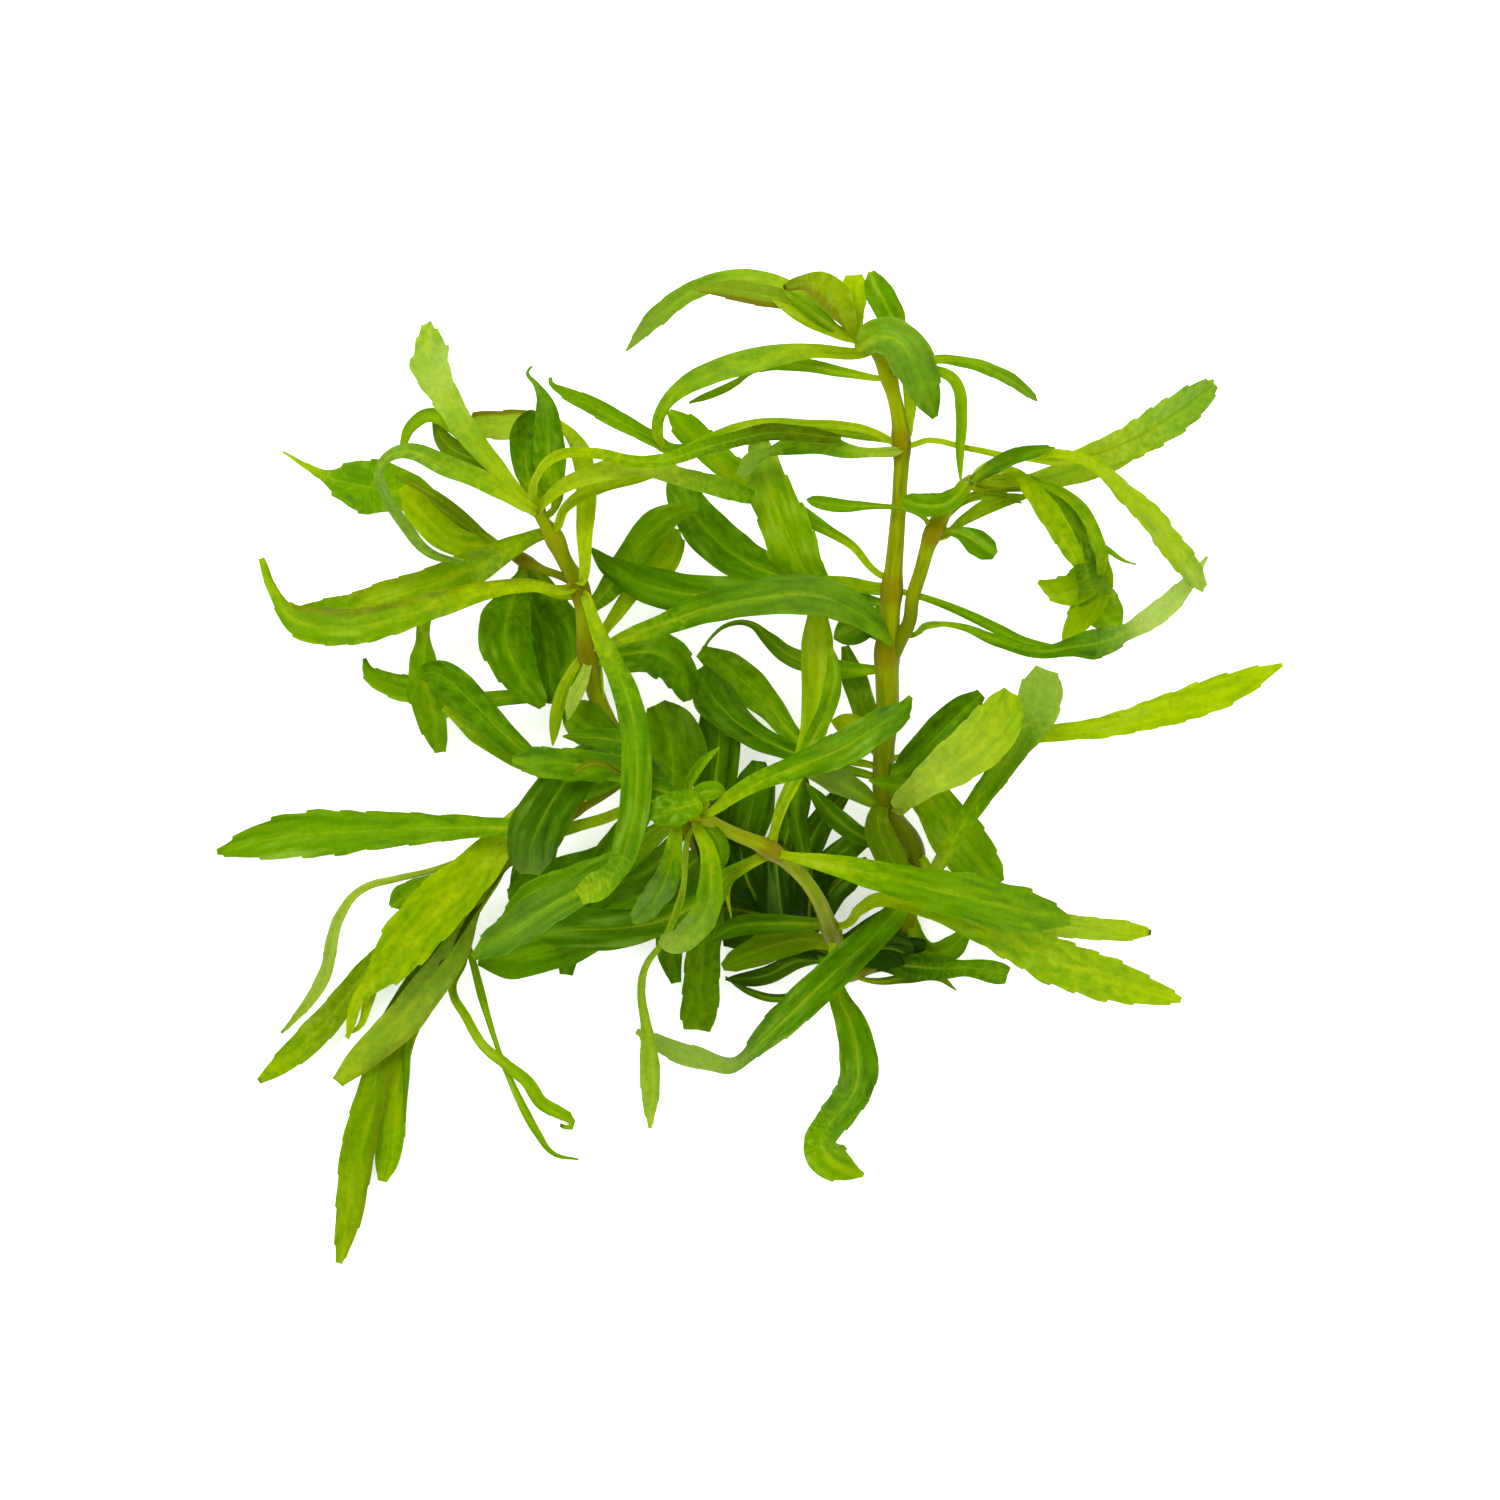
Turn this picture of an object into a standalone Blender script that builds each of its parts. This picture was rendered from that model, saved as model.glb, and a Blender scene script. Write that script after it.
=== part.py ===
# Pogostemon quadrifolius: one loose bunch of stems, lying on a surface.
# Metres, +Z up. The surface is z = 0, and the origin is under the middle of the bunch.
# Each leaf is a flat blank, cut to a long pointed outline, given its thickness and then
# bent along a guide curve that runs from the stem to the leaf's tip.

import math

import bmesh
import bpy
from mathutils import Vector

MM = 0.001

# Driving dimensions, in millimetres
EYE_HEIGHT = 1000.0        # routes are read from this height, straight above the middle
BLADE_THICKNESS = 0.5
TIP_HALF_WIDTH = 0.25
BLADE_FULLNESS = 0.85      # below 1 the blade's sides swell, above 1 they hollow
KEEL_SLOPE = 0.16          # how steeply the two halves of a blade rise from the midrib
CELL_LENGTH = 4.6          # length of one cell along a blade
FEWEST_CELLS = 8
MOST_CELLS = 13
CENTRE_SHIFT = (0.0, 0.6, -0.35)   # brings the box to the middle and down to the surface
RINGS_PER_STRETCH = 4      # rings of a stem between two of its route points
STEM_ROUGHNESS = 0.5
LEAF_ROUGHNESS = 0.45

# Leaf colours as linear RGB
FRESH_GREEN = (0.13, 0.32, 0.012)
YOUNG_GREEN = (0.33, 0.50, 0.010)
DEEP_GREEN = (0.045, 0.17, 0.008)
OLIVE_GREEN = (0.17, 0.23, 0.012)
STEM_OLIVE = (0.26, 0.26, 0.02)
STEM_RUST = (0.20, 0.09, 0.02)


def clear_scene():
    for existing in list(bpy.data.objects):
        bpy.data.objects.remove(existing)


def new_collection(name):
    collection = bpy.data.collections.new(name)
    bpy.context.scene.collection.children.link(collection)
    return collection


clear_scene()
PLANT = new_collection("pogostemon_quadrifolius")
GUIDES = new_collection("guides")
ROOT = bpy.data.objects.new("plant_root", None)
ROOT.location = Vector(CENTRE_SHIFT) * MM
PLANT.objects.link(ROOT)


def as_seen(x, y, z):
    """The point at height z that the eye sees at (x, y) on the surface, in metres."""
    toward_axis = 1.0 - z / EYE_HEIGHT
    return Vector((x * toward_axis, y * toward_axis, z)) * MM


def plant_material(name, colour, roughness):
    material = bpy.data.materials.new(name)
    material.use_nodes = True
    shader = material.node_tree.nodes["Principled BSDF"]
    shader.inputs["Base Color"].default_value = (*colour, 1.0)
    shader.inputs["Roughness"].default_value = roughness
    shader.inputs["Metallic"].default_value = 0.0
    return material


def route_length(points):
    return sum((b - a).length for a, b in zip(points, points[1:]))


def smooth_curve(name, points, radii=None):
    """A curve that passes smoothly through every point of a route."""
    data = bpy.data.curves.new(name, "CURVE")
    data.dimensions = "3D"
    spline = data.splines.new("BEZIER")
    spline.bezier_points.add(len(points) - 1)
    for index, knot in enumerate(spline.bezier_points):
        knot.co = points[index]
        knot.handle_left_type = "AUTO"
        knot.handle_right_type = "AUTO"
        if radii:
            knot.radius = radii[index]
    return data


def stem(name, route, diameters, colour):
    """A round stem through route points (x, y, z), with its diameter at each of them."""
    points = [as_seen(*point) for point in route]
    data = smooth_curve(name, points, [d / 2.0 for d in diameters])
    data.resolution_u = RINGS_PER_STRETCH
    data.bevel_depth = MM
    data.bevel_resolution = 2
    data.use_fill_caps = True
    data.materials.append(plant_material(name + "_skin", colour, STEM_ROUGHNESS))
    piece = bpy.data.objects.new(name, data)
    PLANT.objects.link(piece)
    piece.parent = ROOT


def half_width(along, width, stalk, belly):
    """Half the blade's width at a fraction along it: a narrow stalk, a belly and a point."""
    skew = math.log(0.5) / math.log(belly)
    swell = max(math.sin(math.pi * along ** skew), 0.0) ** BLADE_FULLNESS
    petiole = stalk * (1.0 - along)
    return max((petiole + (1.0 - petiole) * swell) * width / 2.0, TIP_HALF_WIDTH)


def leaf_blank(name, length, width, stalk, belly, cells):
    """A flat leaf outline along +X, two cells across, its halves raised from the midrib."""
    blank = bmesh.new()
    bmesh.ops.create_grid(blank, x_segments=cells, y_segments=2, size=1.0)
    for corner in blank.verts:
        along = (corner.co.x + 1.0) / 2.0
        side = corner.co.y
        half = half_width(along, width, stalk, belly)
        corner.co.x = along * length
        corner.co.y = side * half * MM
        corner.co.z = abs(side) * half * KEEL_SLOPE * MM
    mesh = bpy.data.meshes.new(name)
    blank.to_mesh(mesh)
    blank.free()
    return mesh


def leaf(name, width, colour, route, lean=(0.0, 0.0), stalk=0.3, belly=0.58, folded=False):
    """One blade along route points (x, y, z), from its base to its tip.

    lean turns the blade about its length, in degrees, at the base and at the tip.
    A folded leaf keeps its own upper side as it doubles back under itself.
    """
    points = [as_seen(*point) for point in route]
    guide_data = smooth_curve(name + "_guide", points)
    guide_data.twist_mode = "MINIMUM" if folded else "Z_UP"
    guide_data.use_stretch = True
    guide_data.use_deform_bounds = True
    last = len(points) - 1
    for index, knot in enumerate(guide_data.splines[0].bezier_points):
        share = index / last
        knot.tilt = math.radians(lean[0] * (1.0 - share) + lean[1] * share)
    guide = bpy.data.objects.new(name + "_guide", guide_data)
    guide.hide_render = True
    guide.display_type = "WIRE"
    guide.parent = ROOT
    GUIDES.objects.link(guide)

    length = route_length(points)
    cells = round(length / MM / CELL_LENGTH)
    cells = max(FEWEST_CELLS, min(MOST_CELLS, cells))
    mesh = leaf_blank(name, length, width, stalk, belly, cells)
    mesh.materials.append(plant_material(name + "_skin", colour, LEAF_ROUGHNESS))
    piece = bpy.data.objects.new(name, mesh)
    PLANT.objects.link(piece)
    piece.parent = ROOT
    body = piece.modifiers.new("thickness", "SOLIDIFY")
    body.thickness = BLADE_THICKNESS * MM
    body.offset = 0.0
    bend = piece.modifiers.new("bend", "CURVE")
    bend.object = guide
    bend.deform_axis = "POS_X"
    mesh.shade_smooth()


def stems():
    stem("stem_right_lower",
         [(24.5, -30, 2.4), (25.4, -18, 8), (24.8, -13, 11), (21.1, -6.2, 15), (21.4, 2, 19),
          (22, 9, 22), (21.9, 17, 24.5)],
         (4.2, 3.8, 3.8, 4.2, 3.6, 3.7, 3.8), STEM_OLIVE)
    stem("stem_right_upper",
         [(22, 19.6, 25.2), (22.7, 28.5, 27.5), (23.5, 38, 29), (24, 45, 30), (24.2, 52, 31),
          (22.6, 61, 32), (20.5, 66, 32.5), (18, 68.4, 32.5)],
         (3.6, 3.0, 2.5, 2.3, 2.5, 2.2, 2.0, 1.2), STEM_OLIVE)
    stem("stem_right_branch",
         [(25.5, 23.4, 27), (26, 27, 28.2), (27.2, 31, 29.5), (29.5, 38, 31.5), (34, 44.6, 33),
          (35.6, 46.2, 33.5)],
         (2.0, 2.2, 2.2, 2.4, 2.0, 1.2), STEM_OLIVE)
    stem("stem_left",
         [(17.5, -32.5, 2.2), (6, -25, 5), (-8, -12, 9.5), (-18, 0, 14), (-24, 10, 18),
          (-26, 18.5, 22), (-27.3, 28.7, 25), (-29.6, 33, 26.4), (-31.3, 36.7, 28),
          (-33.2, 39.6, 31), (-34.2, 41, 33.6)],
         (3.6, 3.2, 3.0, 2.9, 2.8, 2.9, 2.8, 2.5, 2.6, 1.9, 1.3), STEM_RUST)
    stem("stem_left_side",
         [(-30.2, 30.6, 24.2), (-33, 31.6, 23.4), (-36.5, 33.3, 22.6), (-38.4, 34.4, 22)],
         (1.3, 1.3, 1.7, 1.0), STEM_RUST)
    stem("stem_low_left",
         [(-20, -1.9, 13.1), (-24, -4.6, 12.8), (-29, -7.6, 12.4), (-34, -11.4, 12), (-37, -14, 11.8)],
         (1.8, 1.8, 1.7, 1.6, 1.3), STEM_RUST)
    stem("stem_front",
         [(15, -33, 8.6), (14.2, -29.5, 14), (13, -26.2, 20), (9.2, -18.5, 31), (3.1, -13.1, 39),
          (-3, -10.3, 44), (-8.5, -7.6, 48), (-11, -6.6, 49.5)],
         (3.2, 3.0, 3.2, 2.6, 3.0, 2.4, 2.2, 1.2), STEM_OLIVE)


def left_crown_leaves():
    leaf("leaf_left_tall", 6.6, FRESH_GREEN,
         [(-36, 43.4, 33), (-42, 47, 35), (-46.3, 52, 34.6), (-50, 59, 30), (-51.5, 64.5, 23),
          (-52, 71, 14)], lean=(10, -20))
    leaf("leaf_left_loop", 4.4, FRESH_GREEN,
         [(-36.3, 42.2, 36), (-44, 46.5, 40), (-50, 48.9, 41), (-56, 50.2, 39), (-59.4, 47.6, 36),
          (-58.3, 43, 32), (-55.3, 38.4, 28), (-51, 34.3, 25), (-45.6, 32.8, 23)],
         lean=(0, 30), belly=0.4)
    leaf("leaf_left_low_broad", 8.0, OLIVE_GREEN,
         [(-39.6, 35, 20.4), (-43, 37, 15.8), (-47.6, 40.2, 13.4), (-53, 43.4, 12), (-58, 44.4, 10.5),
          (-63, 45.2, 8), (-68, 46.6, 5), (-74.8, 50.5, 0.9)], lean=(8, 0), stalk=0.2, belly=0.62)
    leaf("leaf_left_upright", 5.2, DEEP_GREEN,
         [(-31.8, 41.4, 31), (-32.5, 48, 33), (-32.3, 55, 32), (-34, 60, 27), (-35.9, 63.6, 22)],
         lean=(-10, 15))
    leaf("leaf_left_long_strap", 2.8, DEEP_GREEN,
         [(-34.8, 43.2, 35.6), (-34.2, 47, 39), (-31, 50, 41.5), (-26, 50.7, 42.5), (-16, 49.4, 42.5),
          (-5, 52, 41), (8, 54, 39), (16.7, 53.2, 37)], lean=(20, -15), stalk=0.6)
    leaf("leaf_left_cross", 3.8, FRESH_GREEN,
         [(-32.6, 42.8, 34.4), (-29, 46, 36.4), (-23, 47.8, 38), (-17, 47.7, 38), (-9, 45.6, 36.5),
          (0.5, 43.4, 33)], lean=(0, -15), stalk=0.4)
    leaf("leaf_left_wavy", 6.2, FRESH_GREEN,
         [(-29.2, 28.4, 27.5), (-36, 29.2, 30), (-45, 27.6, 28.5), (-55, 24.4, 22), (-65, 22.4, 14),
          (-72.6, 23.8, 8), (-76.2, 28, 4), (-78.2, 33.4, 0.9)], lean=(-10, 10))
    leaf("leaf_left_under_wavy", 5.6, DEEP_GREEN,
         [(-33.4, 37.4, 28), (-38, 35.4, 26.6), (-43, 32.6, 21), (-48.4, 30.2, 17), (-56, 27.8, 14.4),
          (-65, 25.4, 10), (-73, 24.8, 5.8)], lean=(0, 0))
    leaf("leaf_left_drooping", 6.0, FRESH_GREEN,
         [(-29.2, 27.4, 22.8), (-35, 28.5, 23.4), (-42, 28.1, 21.6), (-48.2, 27, 19.4), (-51.6, 24.2, 17.4),
          (-52.2, 19, 15.5), (-51.8, 13, 13), (-50.7, 7, 10), (-49.5, 2.4, 7)],
         lean=(0, 5), stalk=0.2, belly=0.76)
    leaf("leaf_left_curled_tip", 4.4, FRESH_GREEN,
         [(-26, 9.6, 16), (-31, 10.8, 13.6), (-38, 11.2, 11.8), (-45, 10.8, 9.8), (-52, 12, 8),
          (-57.5, 13.2, 7.4), (-60.8, 15, 7), (-61.7, 17.4, 6)], lean=(0, 20), belly=0.7)
    leaf("leaf_left_dark_paddle", 5.8, DEEP_GREEN,
         [(-22.2, 2.4, 17.8), (-25.4, 1.8, 21), (-29.6, 0.6, 23.8), (-33.4, 0.4, 25), (-36.6, 3, 25),
          (-40, 6, 24), (-45, 11, 21), (-50, 14.9, 19), (-52.6, 15.2, 18)],
         lean=(0, 0), stalk=0.2, belly=0.7)
    leaf("leaf_left_front_strap", 5.6, FRESH_GREEN,
         [(-26.2, 27, 29.5), (-23.6, 20, 37), (-20.6, 14, 43), (-18.7, 8, 47.5), (-18.1, 2, 51),
          (-18.3, -5, 52.5), (-19.4, -11, 51), (-21.6, -16.6, 47), (-27.2, -20.6, 41.5)],
         lean=(0, 10), stalk=0.5, belly=0.74)


def middle_leaves():
    leaf("leaf_middle_glossy", 6.0, FRESH_GREEN,
         [(-24.2, 19.2, 24.2), (-20, 20.8, 28.6), (-14, 23, 32.5), (-6, 25.8, 35), (2, 27.3, 35.5),
          (10, 27.6, 34.5), (16, 25.6, 32.5), (20, 22.7, 31), (22.7, 19.6, 30)],
         lean=(0, 10), stalk=0.3, belly=0.66)
    leaf("leaf_middle_under", 6.2, DEEP_GREEN,
         [(20.6, 28.6, 26.6), (14, 29.2, 27.5), (6, 28.2, 27.5), (-4, 27.4, 25.5), (-14, 28.6, 22.5),
          (-22, 31.8, 19), (-25.6, 35.2, 16.5)], lean=(5, -10))
    leaf("leaf_middle_cross_back", 4.8, FRESH_GREEN,
         [(20.8, 30.8, 27.8), (16, 35.8, 25.8), (10, 39, 23.6), (4, 43, 21.6), (-2, 46.8, 19.6),
          (-7, 51.3, 17.5), (-13, 57, 14)], lean=(-10, 10), belly=0.6)
    leaf("leaf_middle_dark_broad", 7.2, DEEP_GREEN,
         [(20.4, 26.6, 24.6), (16.4, 27.8, 23.4), (12, 29, 22.4), (5, 30.6, 21), (-1, 33, 18.5),
          (-6, 37, 15.8), (-10, 42, 13), (-12.6, 48.5, 10)], lean=(0, 12), stalk=0.2, belly=0.62)
    leaf("leaf_middle_standing", 7.6, DEEP_GREEN,
         [(20, 21.4, 23.6), (16.6, 23.4, 23.4), (13.2, 26, 23.6), (9.6, 30, 24.4), (6.9, 35.5, 26.6),
          (4.6, 41, 28), (2.6, 46.6, 28), (1.2, 53, 26.4)], lean=(0, -10), stalk=0.2, belly=0.64)
    leaf("leaf_middle_arching", 4.0, FRESH_GREEN,
         [(18.8, 66.6, 30.8), (10, 66.8, 32), (0, 65.2, 32), (-6, 63.4, 31), (-11, 61, 30),
          (-14, 57.4, 28.6), (-14.6, 54, 27.4), (-13, 50.4, 26)], lean=(5, -10), stalk=0.35)


def right_crown_leaves():
    leaf("leaf_right_top_arch", 3.2, OLIVE_GREEN,
         [(16.6, 69.8, 32.6), (9, 76, 34), (0, 78.4, 32), (-8, 76.2, 27), (-14, 72.8, 19),
          (-20, 66.6, 7)], lean=(20, -20), stalk=0.5)
    leaf("leaf_right_top_fold", 4.0, FRESH_GREEN,
         [(20.8, 68.6, 34.4), (22.3, 69.6, 35.2), (22.8, 71.6, 36.2), (21.6, 74.2, 36.8), (20.2, 77, 36),
          (19.3, 80.88, 34.6)], folded=True, stalk=0.6, belly=0.55)
    leaf("leaf_right_front_glossy", 6.2, FRESH_GREEN,
         [(17.4, 67.2, 35), (20.6, 69.2, 40), (24.2, 67.8, 42), (26.6, 63.8, 42), (28.2, 60, 40.4),
          (29.6, 56, 37.4)], lean=(0, -20))
    leaf("leaf_right_long", 6.2, YOUNG_GREEN,
         [(25.8, 51.8, 31.6), (29, 52.4, 34), (36, 51, 35), (44, 49.8, 33), (52, 49.9, 27.5),
          (60, 52.2, 20), (68, 56.6, 10), (74.3, 61.2, 1.1)], lean=(0, 12), stalk=0.14, belly=0.66)


def branch_crown_leaves():
    leaf("leaf_branch_sickle", 4.4, FRESH_GREEN,
         [(36.2, 46.8, 35.6), (39, 48.3, 39.6), (42, 49.4, 42), (48, 50.7, 42), (54, 49, 38.4),
          (60, 44.8, 32), (65, 39.6, 24), (69.4, 34, 15), (73, 28.6, 5)], lean=(10, -18), stalk=0.4)
    leaf("leaf_branch_inner", 4.0, FRESH_GREEN,
         [(36.8, 45.6, 33.6), (39.4, 47.6, 35), (42, 47.6, 36), (44.8, 44.8, 36), (47.6, 41, 34.4),
          (50.2, 37, 32), (52.6, 32.6, 29)], lean=(-10, 15), stalk=0.35)
    leaf("leaf_branch_paddle", 6.6, DEEP_GREEN,
         [(36.4, 44.4, 31.4), (42, 44.6, 29.4), (47.4, 44.2, 26.8), (51, 42.4, 25.4), (52.2, 39, 24.4),
          (52.7, 34.6, 22.4), (54.2, 30, 18.6), (56.8, 25.4, 14), (59.4, 22.4, 11)],
         lean=(0, 10), stalk=0.2, belly=0.68)
    leaf("leaf_branch_low_fold", 4.8, DEEP_GREEN,
         [(25.6, 21, 25.2), (28.5, 22.7, 29), (34, 22.8, 32), (40, 20.9, 32), (46, 19, 30),
          (52, 19, 27), (57, 20.4, 23), (63, 23.2, 15.6), (68.5, 27.6, 7.4), (73.2, 33.6, 1)],
         lean=(0, 30), stalk=0.2, belly=0.55)


def centre_leaves():
    leaf("leaf_centre_upright", 3.0, FRESH_GREEN,
         [(3.4, -11, 40.2), (4.3, -8, 41), (5.8, -4, 40.6), (8, 0, 39), (10, 4.5, 37),
          (12, 9, 34.6), (13.3, 14.5, 31), (13, 19.3, 27)], lean=(10, -10), stalk=0.45, belly=0.7)
    leaf("leaf_centre_across", 5.6, FRESH_GREEN,
         [(-6.6, -7.2, 50.2), (-3, -4.6, 51), (2, -1.8, 51), (8, 0.6, 50), (14, 3.2, 47),
          (20, 7, 42), (25.6, 11.2, 36)], lean=(0, 12), stalk=0.2, belly=0.62)


def right_side_leaves():
    leaf("leaf_side_bright", 5.2, YOUNG_GREEN,
         [(23.8, 1.6, 18.4), (27, 1.8, 17.8), (31, 2.4, 17), (40, 4, 16), (46, 5.3, 14.6), (55, 6.4, 12.4),
          (65, 9, 9), (75, 12.4, 5), (85.2, 16.4, 0.8)], lean=(0, 8), stalk=0.3, belly=0.7)
    leaf("leaf_side_tall", 5.8, FRESH_GREEN,
         [(27.4, -14.6, 12), (29, -16.4, 16.6), (31, -14.6, 21.6), (32.8, -11, 24), (36.6, -4, 25),
          (40.5, 1.4, 24), (44.5, 6.4, 21), (48.2, 13.6, 15.5)], lean=(0, 12), stalk=0.25, belly=0.64)
    leaf("leaf_side_front", 7.2, YOUNG_GREEN,
         [(23.4, -6.6, 17.8), (24.2, -6.6, 23), (25.2, -4.8, 29), (27.6, -2.6, 32.4), (31.4, 0, 33.6),
          (36.4, 3.8, 33.6), (40.6, 8.4, 31.6), (42.4, 12.4, 29)],
         lean=(-5, 10), stalk=0.25, belly=0.68)
    leaf("leaf_side_olive_broad", 8.2, OLIVE_GREEN,
         [(23.8, -3.4, 13.8), (28, -5.4, 14), (31, -9.2, 14), (35, -14, 12.6), (39.4, -19, 10)],
         lean=(0, -8), stalk=0.5, belly=0.55)
    leaf("leaf_low_serrated_upper", 7.6, FRESH_GREEN,
         [(5.4, -13.9, 39.6), (10, -14.8, 41), (18, -16.5, 41), (26, -18.6, 39), (36, -20.9, 34),
          (44, -22.9, 28), (51.2, -24.4, 22)], lean=(0, -10), stalk=0.25, belly=0.62)
    leaf("leaf_low_serrated_long", 7.2, YOUNG_GREEN,
         [(15.2, -25.2, 22), (17.6, -22.8, 26), (21, -21.2, 29.4), (30, -23, 31.4), (37, -25.6, 28.6),
          (44, -28.7, 23), (52, -32, 16), (60, -35, 9), (69, -37.3, 2.6)],
         lean=(0, 10), stalk=0.25, belly=0.62)
    leaf("leaf_low_brown_end", 4.4, YOUNG_GREEN,
         [(27.6, -18.4, 8.6), (29.6, -21, 14.6), (33, -23, 19), (39, -24.2, 20), (45, -24.9, 18.6),
          (52, -25.5, 16), (58, -26, 13), (63.5, -26.4, 9.6)], lean=(0, 15), stalk=0.25, belly=0.62)


def foot_leaves():
    leaf("leaf_foot_diagonal", 5.8, FRESH_GREEN,
         [(25.2, -16.6, 13.2), (26.2, -18.4, 18.4), (24.6, -21.4, 23), (20.4, -26.4, 26),
          (15, -31.4, 27), (8, -38, 24.6), (2.4, -42.8, 20), (-1.6, -45.9, 14.4), (-3.4, -46.8, 10.6),
          (-6.4, -46.6, 8.4), (-12, -45.4, 8), (-18.4, -42.2, 8)], folded=True, stalk=0.25, belly=0.55)
    leaf("leaf_foot_hanging", 6.2, FRESH_GREEN,
         [(13.2, -28.4, 20.2), (13.4, -33, 19), (14.3, -37, 19.4), (15.5, -41, 19), (17, -46, 17),
          (17, -51, 13.4), (14.6, -55.2, 9.6), (11.2, -58.2, 6.6), (10.4, -61.2, 4.6),
          (13.6, -64.3, 2.6), (18.2, -65.3, 1)], lean=(0, 20), stalk=0.4, belly=0.64)
    leaf("leaf_foot_short_right", 4.4, DEEP_GREEN,
         [(17.2, -30.2, 9.6), (24, -30.3, 9.6), (30, -31.6, 8.6), (36, -32.4, 5.6), (41.2, -33.1, 2.4)],
         lean=(0, 10), belly=0.7)
    leaf("leaf_foot_narrow_hanging", 3.4, YOUNG_GREEN,
         [(-9.6, -10.6, 45.6), (-10.4, -14, 42), (-10.6, -18.6, 37), (-11.8, -23, 32), (-14, -28, 27.6),
          (-16.5, -31.6, 24), (-17.3, -36, 20), (-16.5, -42, 15.4), (-16, -48, 11), (-16, -57.8, 4)],
         lean=(10, 0), stalk=0.6, belly=0.75)


def front_crown_leaves():
    leaf("leaf_front_keeled", 5.6, FRESH_GREEN,
         [(-12, -8.4, 49.4), (-12.8, -12, 50.4), (-13.6, -16, 49.4), (-15, -20, 46), (-18.4, -24.8, 40)],
         lean=(0, -10))
    leaf("leaf_front_bright", 5.4, FRESH_GREEN,
         [(-9.4, -9.4, 49), (-7.6, -14, 50), (-7, -19, 48), (-7.8, -23.6, 44), (-9.6, -26.8, 39.6),
          (-12, -27.9, 36), (-15, -27.4, 33.4)], lean=(0, 20), stalk=0.4, belly=0.6)
    leaf("leaf_front_left_low", 5.8, FRESH_GREEN,
         [(-12.2, -8.8, 46.4), (-15, -11, 45.6), (-20, -14.6, 43), (-26, -18.6, 39), (-32, -22, 35),
          (-38, -26, 29.6), (-44.3, -31, 23)], lean=(0, 10), stalk=0.3, belly=0.68)
    leaf("leaf_front_left_cross", 4.8, FRESH_GREEN,
         [(-12.2, -4.6, 47), (-17, -1, 44.4), (-21, 0, 41.8), (-26, 0.6, 39), (-32, 1, 36),
          (-38, 0.4, 31)], lean=(-10, 0), stalk=0.4, belly=0.72)
    leaf("leaf_front_left_hanging", 8.2, DEEP_GREEN,
         [(-19.6, 1.4, 16.8), (-22.2, 1.8, 24.6), (-25.4, 0.8, 30.6), (-28.8, -1.6, 33), (-31, -5, 32.4),
          (-33.3, -9, 30.4), (-35.4, -13, 27.4), (-35.8, -17, 23.6)],
         lean=(0, 0), stalk=0.2, belly=0.7)


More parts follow.
